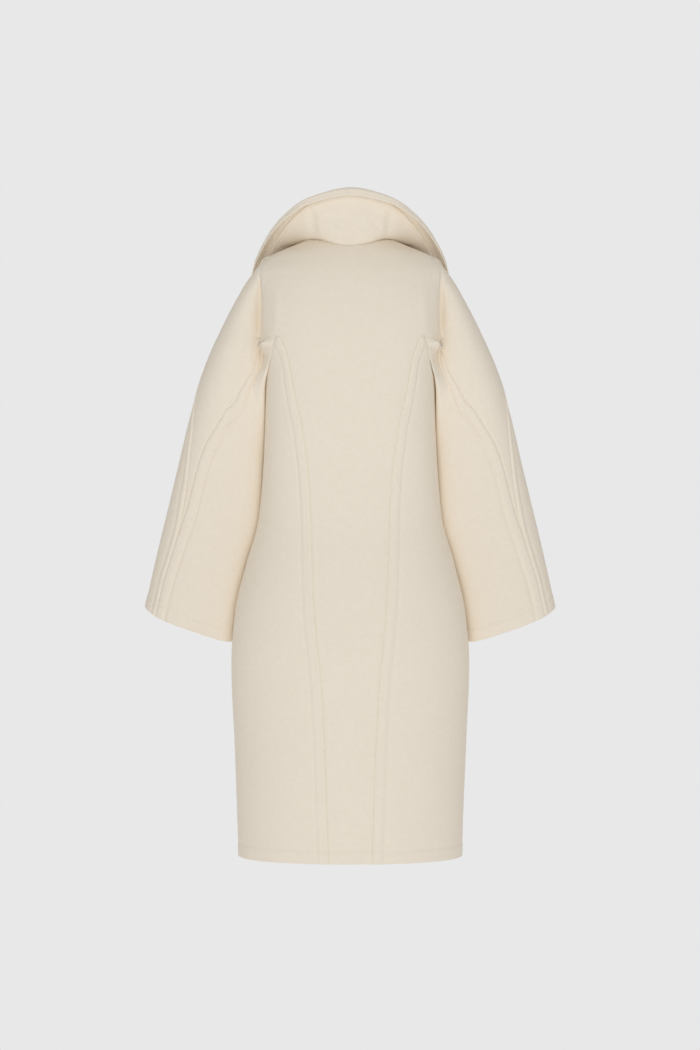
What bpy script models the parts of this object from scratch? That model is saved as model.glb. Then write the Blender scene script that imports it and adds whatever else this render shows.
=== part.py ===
"""Single-breasted coat with kimono shoulders, hollow and filled out as when worn.

Metres, +Z up.  The front faces -Y, the back faces +Y and the wearer's left is +X.
The origin lies between the shoulders at the height of the neck points, where the
wearer carries the coat.  Every cut piece of cloth is one wall of its own.
"""

import math

import bmesh
import bpy
from mathutils import Vector

# Driving sizes
WALL = 0.0025
SEAM_GAP = 0.0004
HEM_Z = -1.020
NOTCH_Z = -0.177
NOTCH_X = 0.143
ARMPIT_Z = -0.250
ARMHOLE_POWER = 1.7
NECK_DROP = 0.0217
# The left front steps in under the right one: how far, where from, over what run, below what height
UNDERLAP_STEP = 0.0034
UNDERLAP_FROM = 0.068
UNDERLAP_RUN = 0.033
UNDERLAP_TOP = -0.225
UNDERLAP_TOP_RUN = 0.040
SLEEVE_ROUNDNESS = 2.3
FOLD_SOFTNESS = 0.006
# Shares of a row or column over which a piece eases from its seam into its own form
SEAM_EASE = 0.4
ARMHOLE_EASE = 0.34
COLLAR_LAYERS_APART = 2 * WALL + 0.0006
COLLAR_LIFT = 0.0003
LAPEL_FROM = 0.09
LAPEL_RUN = 0.05
LAPEL_END_X = 0.004

BUTTON_RADIUS = 0.0135
BUTTON_THICKNESS = 0.0042
BUTTON_EDGE = 0.0011
BUTTON_CLEAR = 0.0004
BUTTON_HEIGHTS = (-0.335, -0.450, -0.565)

# Columns of faces across each stretch of cloth
CENTRE_COLUMNS = 5
WING_COLUMNS = 6
SIDE_COLUMNS = 12

CLOTH_COLOUR = (0.787, 0.716, 0.604, 1.0)
BUTTON_COLOUR = (0.70, 0.62, 0.50, 1.0)

# Body: height, half width, depth of the back and of the front from the middle, roundness
# (2 is an ellipse, more is boxier)
BODY = (
    (0.000, 0.052, 0.042, 0.036, 2.3),
    (-0.015, 0.088, 0.059, 0.046, 2.3),
    (-0.038, 0.138, 0.076, 0.063, 2.3),
    (-0.066, 0.1625, 0.091, 0.080, 2.5),
    (-0.100, 0.157, 0.103, 0.098, 2.9),
    (-0.140, 0.152, 0.111, 0.113, 3.2),
    (-0.177, 0.149, 0.115, 0.122, 3.2),
    (-0.225, 0.141, 0.116, 0.127, 3.0),
    (-0.296, 0.140, 0.113, 0.123, 2.6),
    (-0.395, 0.1445, 0.107, 0.114, 2.4),
    (-0.466, 0.151, 0.108, 0.115, 2.3),
    (-0.540, 0.1715, 0.116, 0.121, 2.3),
    (-0.619, 0.190, 0.124, 0.126, 2.3),
    (-0.690, 0.1955, 0.129, 0.128, 2.3),
    (-0.838, 0.191, 0.131, 0.128, 2.3),
    (-1.020, 0.184, 0.130, 0.127, 2.3),
)

# Sleeve: height, outer edge, inner edge, middle depth, half depth
SLEEVE = (
    (0.000, 0.052, 0.020, 0.000, 0.020),
    (-0.015, 0.088, 0.050, 0.000, 0.026),
    (-0.038, 0.138, 0.090, 0.000, 0.038),
    (-0.066, 0.1645, 0.112, 0.000, 0.049),
    (-0.100, 0.1845, 0.136, 0.000, 0.059),
    (-0.140, 0.206, 0.139, 0.000, 0.065),
    (-0.177, 0.223, 0.137, 0.000, 0.068),
    (-0.238, 0.247, 0.139, -0.003, 0.067),
    (-0.307, 0.268, 0.1455, -0.007, 0.065),
    (-0.376, 0.2855, 0.149, -0.012, 0.063),
    (-0.469, 0.308, 0.157, -0.018, 0.060),
    (-0.538, 0.3245, 0.178, -0.024, 0.058),
    (-0.608, 0.341, 0.194, -0.030, 0.057),
    (-0.720, 0.367, 0.206, -0.040, 0.056),
)

# Cuff plane: a point in it, and its fall for each metre outwards and to the back
CUFF_POINT = (0.270, -0.030, -0.632)
CUFF_SLOPE = (0.36, -0.28)

# Seam between the back panel and the side panel: height, distance from the middle
PRINCESS_SEAM = (
    (-0.177, 0.143),
    (-0.186, 0.127),
    (-0.198, 0.113),
    (-0.215, 0.103),
    (-0.242, 0.096),
    (-0.281, 0.088),
    (-0.312, 0.080),
    (-0.343, 0.0755),
    (-0.378, 0.0705),
    (-0.421, 0.0667),
    (-0.468, 0.0644),
    (-0.591, 0.060),
    (-0.655, 0.055),
    (-0.713, 0.0485),
    (-0.859, 0.0406),
    (-1.020, 0.035),
)

# The same seam on the front
FRONT_SEAM = (
    (-0.177, 0.143),
    (-0.186, 0.129),
    (-0.198, 0.117),
    (-0.215, 0.108),
    (-0.242, 0.102),
    (-0.300, 0.093),
    (-0.420, 0.082),
    (-0.600, 0.083),
    (-0.800, 0.087),
    (-1.020, 0.089),
)

# Seam between the upper sleeve and the under sleeve: height, angle round the sleeve
# in degrees from its outer edge, towards the back on the back and the front on the front
WELT_SEAM = (
    (-0.177, 145.0),
    (-0.222, 121.0),
    (-0.259, 106.0),
    (-0.289, 93.0),
    (-0.321, 79.5),
    (-0.349, 69.0),
    (-0.391, 63.0),
    (-0.469, 60.0),
    (-0.720, 60.0),
)

# Seam along the top of the sleeve: height, angle towards the back
OVERARM_SEAM = (
    (-0.177, 0.0),
    (-0.240, 8.0),
    (-0.298, 30.0),
    (-0.331, 39.0),
    (-0.373, 45.0),
    (-0.415, 50.0),
    (-0.491, 53.0),
    (-0.535, 51.0),
    (-0.568, 48.0),
    (-0.720, 47.0),
)

# Front edge: height, distance of the edge past the middle line towards its own side
FRONT_EDGE = (
    (0.000, 0.052),
    (-0.035, 0.058),
    (-0.090, 0.054),
    (-0.160, 0.040),
    (-0.215, 0.024),
    (-0.255, 0.010),
    (-0.285, -0.012),
    (-0.310, -0.027),
    (-0.330, -0.030),
    (-1.020, -0.030),
)

# Under collar and lapel: length along the neck edge from the centre back, then the rim
COLLAR_RIM = (
    (-0.040, -0.058, 0.084, 0.045),
    (0.000, 0.000, 0.096, 0.059),
    (0.040, 0.058, 0.084, 0.045),
    (0.075, 0.093, 0.052, 0.024),
    (0.105, 0.117, 0.008, -0.002),
    (0.150, 0.138, -0.044, -0.037),
    (0.200, 0.147, -0.082, -0.080),
    (0.250, 0.142, -0.106, -0.130),
    (0.310, 0.115, -0.134, -0.190),
    (0.350, 0.078, -0.147, -0.228),
    (0.385, 0.036, -0.141, -0.250),
    (0.410, 0.014, -0.131, -0.256),
)

# Upper collar and facing: the same length, the top of the roll, and the roll's share of its full size
ROLL_RIM = (
    (-0.040, -0.066, 0.093, 0.052, 1.0),
    (0.000, 0.000, 0.108, 0.0665, 1.0),
    (0.040, 0.066, 0.093, 0.052, 1.0),
    (0.075, 0.103, 0.057, 0.030, 1.0),
    (0.105, 0.130, 0.010, 0.002, 1.0),
    (0.150, 0.153, -0.042, -0.038, 1.0),
    (0.200, 0.163, -0.083, -0.086, 1.0),
    (0.250, 0.157, -0.112, -0.140, 1.0),
    (0.310, 0.127, -0.142, -0.202, 0.9),
    (0.350, 0.087, -0.155, -0.240, 0.7),
    (0.385, 0.041, -0.148, -0.261, 0.45),
    (0.410, 0.016, -0.137, -0.265, 0.3),
)
ROLL_FALL = 0.012
ROLL_REACH = 0.010
ROLL_CREST = 0.0016

# How far the collar bows away from shoulder and chest: length along the neck edge, up, forwards
COLLAR_BOW = (
    (0.000, 0.000, 0.000),
    (0.075, 0.004, 0.000),
    (0.110, 0.010, 0.004),
    (0.150, 0.012, 0.012),
    (0.220, 0.004, 0.014),
    (0.410, 0.000, 0.006),
)

UPPER_ROWS = (-0.177, -0.152, -0.126, -0.100, -0.076, -0.056, -0.040, -0.026, -0.013, -0.004)
BODY_ROWS = (
    -0.177, -0.183, -0.190, -0.200, -0.215, -0.238, -0.268, -0.303, -0.343, -0.385, -0.430,
    -0.480, -0.535, -0.590, -0.650, -0.720, -0.800, -0.890, -0.965, -1.020,
)
SLEEVE_ROWS = (0.0, 0.05, 0.10, 0.16, 0.23, 0.31, 0.40, 0.49, 0.58, 0.66, 0.735, 0.745, 0.82, 0.91, 1.0)
TIP_ROW = 10


def table(rows, z, column=1):
    """Smooth value of a column at height z (first column, in falling order)."""
    if z >= rows[0][0]:
        return rows[0][column]
    if z <= rows[-1][0]:
        return rows[-1][column]
    last = len(rows) - 1
    k = next(i for i in range(last) if rows[i + 1][0] <= z)
    span = rows[k + 1][0] - rows[k][0]
    t = (z - rows[k][0]) / span
    rise = rows[k + 1][column] - rows[k][column]

    def slope(i):
        if i == 0 or i == last:
            j = min(max(i, 1), last - 1)
            near = j - 1 if i == 0 else j
            return (rows[near + 1][column] - rows[near][column]) / (rows[near + 1][0] - rows[near][0])
        before = (rows[i][column] - rows[i - 1][column]) / (rows[i][0] - rows[i - 1][0])
        after = (rows[i + 1][column] - rows[i][column]) / (rows[i + 1][0] - rows[i][0])
        if before * after <= 0:
            return 0.0
        return 2 * before * after / (before + after)

    m0 = slope(k) * span
    m1 = slope(k + 1) * span
    return (rows[k][column] + m0 * t + (3 * rise - 2 * m0 - m1) * t * t
            + (m0 + m1 - 2 * rise) * t * t * t)


def soft_max(a, b):
    """The larger of two depths, with a soft fold where they cross."""
    h = max(FOLD_SOFTNESS - abs(a - b), 0.0) / FOLD_SOFTNESS
    return max(a, b) + h * h * FOLD_SOFTNESS * 0.25


def arch(x, half_width, depth, roundness):
    """Depth of a rounded section at distance x from its middle."""
    t = abs(x) / half_width
    if t >= 1.0:
        return -(t - 1.0) * depth
    return depth * (1.0 - t ** roundness) ** (1.0 / roundness)


def body_depth(x, z, side):
    """Depth of the body alone, side is 1 for the back and -1 for the front."""
    column = 2 if side > 0 else 3
    return arch(x, table(BODY, z, 1), table(BODY, z, column), table(BODY, z, 4))


def sleeve_section(z):
    outer, inner = table(SLEEVE, z, 1), table(SLEEVE, z, 2)
    return (outer + inner) / 2, (outer - inner) / 2, table(SLEEVE, z, 3), table(SLEEVE, z, 4)


def coat_depth(x, z, side):
    """Depth of body and sleeve together, with the drape fold between them."""
    middle, half, depth_middle, half_depth = sleeve_section(z)
    bump = arch(x - middle, half, half_depth, SLEEVE_ROUNDNESS) + side * depth_middle
    return soft_max(body_depth(x, z, side), bump)


def body_point(x, z, side):
    return Vector((x, side * coat_depth(abs(x), z, side), z))


def sleeve_point(angle, z, with_body=True):
    """Point of the sleeve at an angle in degrees from its outer edge, back is 90."""
    middle, half, depth_middle, half_depth = sleeve_section(z)
    c, s = math.cos(math.radians(angle)), math.sin(math.radians(angle))
    power = 2.0 / SLEEVE_ROUNDNESS
    x = middle + half * math.copysign(abs(c) ** power, c)
    y = depth_middle + half_depth * math.copysign(abs(s) ** power, s)
    side = 1 if s >= 0 else -1
    if with_body and z > ARMPIT_Z and abs(s) > 0.01:
        y = side * soft_max(side * y, body_depth(x, z, side))
    return Vector((x, y, z))


def cuff_height(point):
    return (CUFF_POINT[2] + CUFF_SLOPE[0] * (point.x - CUFF_POINT[0])
            + CUFF_SLOPE[1] * (point.y - CUFF_POINT[1]))


def sleeve_row_point(angle_at, top_z, row, with_body=True):
    """Point at a share row of the way from top_z to the cuff, along a seam or column."""
    z = top_z + row * (CUFF_POINT[2] - top_z)
    for _ in range(6):
        point = sleeve_point(angle_at(z), z, with_body)
        z = top_z + row * (cuff_height(point) - top_z)
    return sleeve_point(angle_at(z), z, with_body)


def welt_angle(z):
    return max(table(WELT_SEAM, z), table(OVERARM_SEAM, z))


def overarm_angle(z):
    return table(OVERARM_SEAM, z)


def front_welt_angle(z):
    return -table(WELT_SEAM, z)


def mix(a, b, t):
    return a + (b - a) * t


# Cloth of the left half, as grids of points; the right half is mirrored


def upper_shares():
    """Shares of the half width for the columns above the notch."""
    outer = table(SLEEVE, NOTCH_Z, 1)
    centre = [NOTCH_X * i / CENTRE_COLUMNS / outer for i in range(CENTRE_COLUMNS)]
    start = welt_angle(NOTCH_Z)
    wing = []
    for i in range(WING_COLUMNS + 1):
        x = sleeve_point(start * (1 - i / WING_COLUMNS), NOTCH_Z).x
        wing.append(x / outer)
    wing[0] = NOTCH_X / outer
    wing[-1] = 1.0
    return centre + wing


def upper_back():
    """Back above the notch, from the middle to the shoulder line."""
    grid = []
    shares = upper_shares()
    top = UPPER_ROWS[-1]
    for z_out in UPPER_ROWS:
        climb = (z_out - NOTCH_Z) / (top - NOTCH_Z)
        z_middle = NOTCH_Z + climb * (-NECK_DROP - NOTCH_Z)
        half = table(SLEEVE, z_out, 1)
        row = []
        for share in shares:
            z = mix(z_middle, z_out, share * share)
            x = half * share
            y = 0.0 if share == 1.0 else max(coat_depth(min(x, table(SLEEVE, z, 1) * 0.9999), z, 1), 0.0)
            row.append(Vector((x, y, z)))
        grid.append(row)
    return grid


def lower_back():
    """Back from the notch to the hem, middle line to princess seam."""
    grid = []
    for z in BODY_ROWS:
        seam = table(PRINCESS_SEAM, z)
        grid.append([body_point(seam * i / CENTRE_COLUMNS, z, 1) for i in range(CENTRE_COLUMNS + 1)])
    return grid


def back_wing():
    """Back of the upper sleeve, from the notch to its tip."""
    grid = []
    for row in SLEEVE_ROWS[:TIP_ROW + 1]:
        line = []
        for i in range(WING_COLUMNS + 1):
            t = i / WING_COLUMNS

            def angle_at(z, t=t):
                return mix(welt_angle(z), overarm_angle(z), t)

            line.append(sleeve_row_point(angle_at, NOTCH_Z, row))
        grid.append(line)
    grid[0] = upper_back()[0][CENTRE_COLUMNS:]
    return grid


def front_edge(z):
    return table(FRONT_EDGE, z)


def front_point(x, z, left):
    """Point of the front; the left front steps in under the right one."""
    point = body_point(x, z, -1)
    if left:
        step = min(max((UNDERLAP_FROM - x) / UNDERLAP_RUN, 0.0), 1.0)
        below = min(max((UNDERLAP_TOP - z) / UNDERLAP_TOP_RUN, 0.0), 1.0)
        point.y += UNDERLAP_STEP * step * step * (3 - 2 * step) * below
    return point


def upper_front(left):
    """Front above the notch, from the roll line to the shoulder line."""
    grid = []
    shares = upper_shares()
    for z in UPPER_ROWS:
        half = table(SLEEVE, z, 1)
        start = front_edge(z) / half
        row = []
        for share in shares:
            x = half * mix(start, 1.0, share)
            y = 0.0 if share == 1.0 else -max(coat_depth(min(x, half * 0.9999), z, -1), 0.0)
            row.append(Vector((x, y, z)))
        grid.append(row)
    for k, point in enumerate(front_wing()[0]):
        grid[0][CENTRE_COLUMNS + k] = point
    start = front_edge(NOTCH_Z)
    for k in range(CENTRE_COLUMNS):
        grid[0][k] = front_point(mix(start, NOTCH_X, k / CENTRE_COLUMNS), NOTCH_Z, left)
    return grid


def lower_front(left):
    grid = []
    for z in BODY_ROWS:
        seam, edge = table(FRONT_SEAM, z), front_edge(z)
        grid.append([front_point(mix(edge, seam, i / CENTRE_COLUMNS), z, left)
                     for i in range(CENTRE_COLUMNS + 1)])
    return grid


def front_wing():
    """Front and top of the sleeve, from the notch to the cuff."""
    grid = []
    for row in SLEEVE_ROWS:
        line = []
        for i in range(WING_COLUMNS + 1):
            t = i / WING_COLUMNS

            def angle_at(z, t=t):
                return mix(front_welt_angle(z), overarm_angle(z), t)

            line.append(sleeve_row_point(angle_at, NOTCH_Z, row))
        grid.append(line)
    grid[0][0] = body_point(NOTCH_X, NOTCH_Z, -1)
    return grid


def ring_angle(x, z, side):
    """Angle round the body of a point at distance x from the middle, back is positive."""
    half, depth, roundness = table(BODY, z, 1), table(BODY, z, 2 if side > 0 else 3), table(BODY, z, 4)
    power = roundness / 2
    x = min(x, half * 0.97)
    return side * math.atan2((body_depth(x, z, side) / depth) ** power, (x / half) ** power)


def ring_point(angle, z):
    """Point of the body at an angle round it."""
    half, depth = table(BODY, z, 1), table(BODY, z, 2 if angle >= 0 else 3)
    power = 2.0 / table(BODY, z, 4)
    y = math.copysign(depth * abs(math.sin(angle)) ** power, angle)
    return Vector((half * math.cos(angle) ** power, y, z))


def side_panel():
    """Side of the body, from the back princess seam round to the front one."""
    back, front = lower_back(), lower_front(False)
    fall = HEM_Z - NOTCH_Z
    grid = []
    for k, z_seam in enumerate(BODY_ROWS):
        share = (z_seam - NOTCH_Z) / fall
        start = ring_angle(table(PRINCESS_SEAM, z_seam), z_seam, 1)
        end = ring_angle(table(FRONT_SEAM, z_seam), z_seam, -1)
        line = []
        for i in range(SIDE_COLUMNS + 1):
            c = i / SIDE_COLUMNS
            top = ARMPIT_Z + (NOTCH_Z - ARMPIT_Z) * abs(2 * c - 1) ** ARMHOLE_POWER
            line.append(ring_point(mix(start, end, c), top + share * (HEM_Z - top)))
        for edge, seam in ((0, back[k][-1]), (SIDE_COLUMNS, front[k][-1])):
            move = seam - line[edge]
            for i in range(SIDE_COLUMNS + 1):
                near = max(1.0 - abs(i - edge) / (SIDE_COLUMNS * SEAM_EASE), 0.0)
                line[i] += move * near * near
        grid.append(line)
    return grid


def under_sleeve():
    """Under side of the sleeve, joined to the side panel below the arm."""
    armhole = side_panel()[0]
    back_edge, front_edge_line = back_wing(), front_wing()
    grid = []
    for k, row in enumerate(SLEEVE_ROWS):
        line = []
        for i in range(SIDE_COLUMNS + 1):
            c = i / SIDE_COLUMNS
            top = armhole[i].z

            def angle_at(z, c=c, k=k):
                start = welt_angle(z) if k <= TIP_ROW else overarm_angle(z)
                return mix(start, 360.0 + front_welt_angle(z), c)

            line.append(sleeve_row_point(angle_at, top, row, False))
        grid.append(line)
    free = grid[0]
    grid[0] = [point.copy() for point in armhole]
    for point in grid[0][1:-1]:
        point.x += SEAM_GAP * 1.2
    for k, row in enumerate(SLEEVE_ROWS[1:], 1):
        ease = max(1.0 - row / ARMHOLE_EASE, 0.0)
        for i in range(1, SIDE_COLUMNS):
            away = 1.0 - abs(2 * i / SIDE_COLUMNS - 1) ** 3
            grid[k][i] += (armhole[i] - free[i]) * ease * ease * away
        grid[k][-1] = front_edge_line[k][0].copy()
        if k <= TIP_ROW:
            grid[k][0] = back_edge[k][0].copy()
        else:
            grid[k][0] = front_edge_line[k][-1].copy()
    return grid


# Collar, made along the neck edge of back and fronts


def neck_stations():
    """Points along the neck edge from the centre back to the end of the lapel."""
    back = [point.copy() for point in upper_back()[-1]]
    front = [row[0].copy() for row in reversed(upper_front(False))]
    front += [row[0].copy() for row in lower_front(False)[1:] if row[0].x > LAPEL_END_X]
    stations = back + front
    lengths = [0.0]
    for a, b in zip(stations, stations[1:]):
        lengths.append(lengths[-1] + (b - a).length)
    return stations, lengths


GORGE_STATION = CENTRE_COLUMNS + WING_COLUMNS + 3
COLLAR_SHARES = (0.0, 0.14, 0.38, 0.62, 0.83, 1.0)


def by_length(rows, s, column):
    """Value of a column of a table that is keyed by length along the neck edge."""
    return table([(-row[0],) + row[1:] for row in rows], -s, column)


def under_collar_grid():
    """Under collar and lapel of one side: a section at each station of the neck edge."""
    stations, lengths = neck_stations()
    grid = []
    for base, s in zip(stations, lengths):
        rim = Vector(tuple(by_length(COLLAR_RIM, s, column) for column in (1, 2, 3)))
        bow = Vector((0.0, -by_length(COLLAR_BOW, s, 2), by_length(COLLAR_BOW, s, 1)))
        lapel = min(max((s - LAPEL_FROM) / LAPEL_RUN, 0.0), 1.0)
        start = base + Vector((0.0, -lapel, 1.0 - 0.7 * lapel)) * COLLAR_LIFT
        line = []
        for share in COLLAR_SHARES:
            line.append(mix(start, rim, share) + bow * math.sin(math.pi * share ** 0.8))
        grid.append(line)
    return grid


def grid_normals(grid):
    """Normals of the half collar, on the side that faces away from the neck."""
    normals = []
    last = len(grid) - 1
    for k, line in enumerate(grid):
        row = []
        for t, point in enumerate(line):
            before = grid[k - 1][t] if k else Vector((-grid[1][t].x, grid[1][t].y, grid[1][t].z))
            after = grid[min(k + 1, last)][t]
            up = line[min(t + 1, len(line) - 1)] - line[max(t - 1, 0)]
            row.append((after - before).cross(up).normalized())
        normals.append(row)
    sign = 1 if normals[0][2].y > 0 else -1
    return [[n * sign for n in row] for row in normals]


def upper_collar_grid():
    """Upper collar and facing: it lies inside the under collar and rolls out over its rim."""
    under = under_collar_grid()
    normals = grid_normals(under)
    lengths = neck_stations()[1]
    grid = []
    for line, row, s in zip(under, normals, lengths):
        made = [p - n * COLLAR_LAYERS_APART for p, n in zip(line[1:], row[1:])]
        roll = Vector(tuple(by_length(ROLL_RIM, s, column) for column in (1, 2, 3)))
        reach = Vector((roll.x, roll.y, 0.0)).normalized()
        size = by_length(ROLL_RIM, s, 4)
        out, down = reach * ROLL_REACH * size, Vector((0.0, 0.0, -ROLL_FALL * size))
        made.append(mix(made[-1], roll, 0.5) + Vector((0.0, 0.0, ROLL_CREST * size)))
        made.append(roll)
        made.append(roll + out * 0.72 + down * 0.27)
        made.append(roll + out + down)
        grid.append(made)
    return grid


# Walls


def mirrored(grid):
    return [[Vector((-p.x, p.y, p.z)) for p in row] for row in grid]


def key_of(point):
    return tuple(round(c * 1e5) for c in point)


class Piece:
    """An open surface of one cut piece, before it gets its thickness."""

    def __init__(self, name, grids, facing):
        self.name = name
        self.surface = bmesh.new()
        found = {}
        for grid in grids:
            index = [[self.vertex(found, point) for point in row] for row in grid]
            for upper, lower in zip(index, index[1:]):
                for k in range(len(upper) - 1):
                    corners = []
                    for vert in (upper[k], upper[k + 1], lower[k + 1], lower[k]):
                        if vert not in corners:
                            corners.append(vert)
                    if len(corners) > 2:
                        self.surface.faces.new(corners)
        bmesh.ops.recalc_face_normals(self.surface, faces=self.surface.faces)
        total = Vector()
        for face in self.surface.faces:
            total += face.normal * face.calc_area()
        if total.dot(Vector(facing)) < 0:
            bmesh.ops.reverse_faces(self.surface, faces=self.surface.faces)
        self.surface.normal_update()

    def vertex(self, found, point):
        key = key_of(point)
        if key not in found:
            found[key] = self.surface.verts.new(point)
        return found[key]


def shared_normals(pieces):
    """Normals that neighbouring pieces agree on, so that their seams stay square."""
    seen = {}
    for piece in pieces:
        for vert in piece.surface.verts:
            seen.setdefault(key_of(vert.co), []).append(vert.normal.copy())
    return seen


def edge_inset(vert):
    """Way from a boundary vertex into its own piece."""
    total = Vector()
    for edge in vert.link_edges:
        if not edge.is_boundary:
            continue
        face = edge.link_faces[0]
        along = (edge.verts[1].co - edge.verts[0].co).normalized()
        inward = face.normal.cross(along)
        if inward.dot(face.calc_center_median() - edge.verts[0].co) < 0:
            inward = -inward
        total += inward
    return total.normalized() if total.length else total


def wall(piece, normals, collection, material):
    """Closed wall of one piece: its surface, a copy WALL further in, and the rim."""
    source = piece.surface
    built = bmesh.new()
    outer, inner = {}, {}
    for vert in source.verts:
        meeting = normals[key_of(vert.co)]
        agreed = Vector()
        for normal in meeting:
            if len(meeting) > 2 or normal.dot(vert.normal) > 0.5:
                agreed += normal
        agreed.normalize()
        place = vert.co.copy()
        if vert.is_boundary:
            place += edge_inset(vert) * SEAM_GAP / 2
        outer[vert] = built.verts.new(place)
        inner[vert] = built.verts.new(place - agreed * WALL)
    for face in source.faces:
        built.faces.new([outer[v] for v in face.verts])
        built.faces.new([inner[v] for v in reversed(face.verts)])
    for edge in source.edges:
        if edge.is_boundary:
            loop = next(loop for loop in edge.link_faces[0].loops if loop.edge == edge)
            a, b = loop.vert, loop.link_loop_next.vert
            built.faces.new([outer[b], outer[a], inner[a], inner[b]])
    bmesh.ops.triangulate(built, faces=built.faces)
    mesh = bpy.data.meshes.new(piece.name)
    built.to_mesh(mesh)
    built.free()
    mesh.shade_smooth()
    mesh.set_sharp_from_angle(angle=math.radians(40))
    mesh.materials.append(material)
    collection.objects.link(bpy.data.objects.new(piece.name, mesh))


def finish(name, colour, roughness):
    material = bpy.data.materials.new(name)
    material.use_nodes = True
    shader = material.node_tree.nodes["Principled BSDF"]
    shader.inputs["Base Color"].default_value = colour
    shader.inputs["Roughness"].default_value = roughness
    shader.inputs["Metallic"].default_value = 0.0
    material.diffuse_color = colour
    return material


def cloth_pieces():
    upper, lower, wing = upper_back(), lower_back(), back_wing()
    back = [upper, lower, wing]
    pieces = [Piece("back", back + [mirrored(g) for g in back], (0, 1, 0))]
    wing = front_wing()
    left_front = [upper_front(True), lower_front(True), wing]
    right_front = [upper_front(False), lower_front(False), wing]
    side, under = side_panel(), under_sleeve()
    pieces += [
        Piece("front_left", left_front, (0, -1, 0)),
        Piece("front_right", [mirrored(g) for g in right_front], (0, -1, 0)),
        Piece("side_left", [side], (1, 0, 0)),
        Piece("side_right", [mirrored(side)], (-1, 0, 0)),
        Piece("under_sleeve_left", [under], (-1, 0, 0)),
        Piece("under_sleeve_right", [mirrored(under)], (1, 0, 0)),
    ]
    return pieces


def collar_pieces(grid, collar_name, lapel_name, facing):
    collar, lapel = grid[:GORGE_STATION + 1], grid[GORGE_STATION:]
    return [
        Piece(collar_name, [collar, mirrored(collar)], (0, facing, 0)),
        Piece(lapel_name + "_left", [lapel], (0, facing, 0)),
        Piece(lapel_name + "_right", [mirrored(lapel)], (0, facing, 0)),
    ]


def button(index, z, collection, material):
    """Plain round button with a soft edge, lying just clear of the right front."""
    above, below = (front_point(0.0, z + dz, False) for dz in (BUTTON_RADIUS, -BUTTON_RADIUS))
    slope = math.atan2(above.y - below.y, 2 * BUTTON_RADIUS)
    outward = Vector((0.0, -math.cos(slope), math.sin(slope)))
    middle = front_point(0.0, z, False)
    reach = max((front_point(x, z + dz, False) - middle).dot(outward)
                for x in (0.0, BUTTON_RADIUS) for dz in (-BUTTON_RADIUS, 0.0, BUTTON_RADIUS))
    bpy.ops.mesh.primitive_cylinder_add(vertices=24, radius=BUTTON_RADIUS, depth=BUTTON_THICKNESS)
    made = bpy.context.object
    made.name = f"button_{index}"
    made.data.name = made.name
    made.rotation_euler = (math.pi / 2 - slope, 0.0, 0.0)
    made.location = middle + outward * (reach + BUTTON_THICKNESS / 2 + BUTTON_CLEAR)
    soft = made.modifiers.new("Soft edge", "BEVEL")
    soft.width = BUTTON_EDGE
    soft.segments = 1
    soft.limit_method = "ANGLE"
    made.data.shade_smooth()
    made.data.set_sharp_from_angle(angle=math.radians(40))
    made.data.materials.append(material)
    for old in list(made.users_collection):
        old.objects.unlink(made)
    collection.objects.link(made)


def main():
    for old in list(bpy.data.objects):
        bpy.data.objects.remove(old, do_unlink=True)
    collection = bpy.data.collections.new("single_breasted_coat")
    bpy.context.scene.collection.children.link(collection)
    groups = (
        cloth_pieces(),
        collar_pieces(under_collar_grid(), "under_collar", "lapel", 1),
        collar_pieces(upper_collar_grid(), "upper_collar", "facing", -1),
    )
    for group in groups:
        normals = shared_normals(group)
        for piece in group:
            wall(piece, normals, collection, finish("cloth " + piece.name, CLOTH_COLOUR, 0.92))
            piece.surface.free()
    for index, z in enumerate(BUTTON_HEIGHTS, 1):
        button(index, z, collection, finish(f"button {index}", BUTTON_COLOUR, 0.45))


main()
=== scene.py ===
"""Single-breasted coat in cream felted wool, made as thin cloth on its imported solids.

Metres, +Z up.  The front faces -Y, the back faces +Y and the wearer's left is +X.
Each cut piece is a wall of its own, with its seams, welts, hems and creases in the mesh.
"""

import functools
import math

import bpy
import numpy as np
from bpy.props import FloatProperty, FloatVectorProperty, IntProperty, PointerProperty
from bpy.types import Operator, Panel, PropertyGroup
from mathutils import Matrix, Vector


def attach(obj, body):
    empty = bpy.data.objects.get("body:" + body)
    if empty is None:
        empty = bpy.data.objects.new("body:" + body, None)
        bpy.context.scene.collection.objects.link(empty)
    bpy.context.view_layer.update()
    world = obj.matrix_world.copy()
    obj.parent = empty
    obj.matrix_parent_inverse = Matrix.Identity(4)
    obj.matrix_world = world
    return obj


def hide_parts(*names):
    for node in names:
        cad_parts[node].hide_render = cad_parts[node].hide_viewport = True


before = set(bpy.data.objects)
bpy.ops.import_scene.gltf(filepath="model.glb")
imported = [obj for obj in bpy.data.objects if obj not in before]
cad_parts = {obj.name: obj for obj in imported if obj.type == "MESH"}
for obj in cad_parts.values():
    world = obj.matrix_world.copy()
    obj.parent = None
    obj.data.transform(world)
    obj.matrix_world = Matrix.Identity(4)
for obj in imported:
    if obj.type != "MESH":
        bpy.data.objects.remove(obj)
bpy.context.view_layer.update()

bl_info = {
    "name": "Single-breasted coat",
    "version": (1, 0, 0),
    "blender": (4, 5, 0),
    "location": "View3D > Sidebar > Coat",
    "description": "Cloth, sewing, buttons and studio of a single-breasted wool coat",
    "category": "Object",
}

BUTTONS = ("button_1", "button_2", "button_3")

# Places on the coat
HEM_Z = -1.020
NOTCH_Z = -0.172
NOTCH_X = 0.120
ARMPIT_Z = -0.250
NECK_DROP = 0.0217
NECK_Z = -0.004
ARMHOLE_POWER = 1.7
SLEEVE_ROUNDNESS = 2.3
# The front of the body is at most this square
FRONT_ROUNDNESS = 2.45
# The sleeve's inner half is flatter from the armpit down: roundness, height where it starts, run
INNER_ROUNDNESS = 4.2
INNER_FROM = -0.200
INNER_RUN = 0.080
FOLD_SOFTNESS = 0.018
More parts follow.
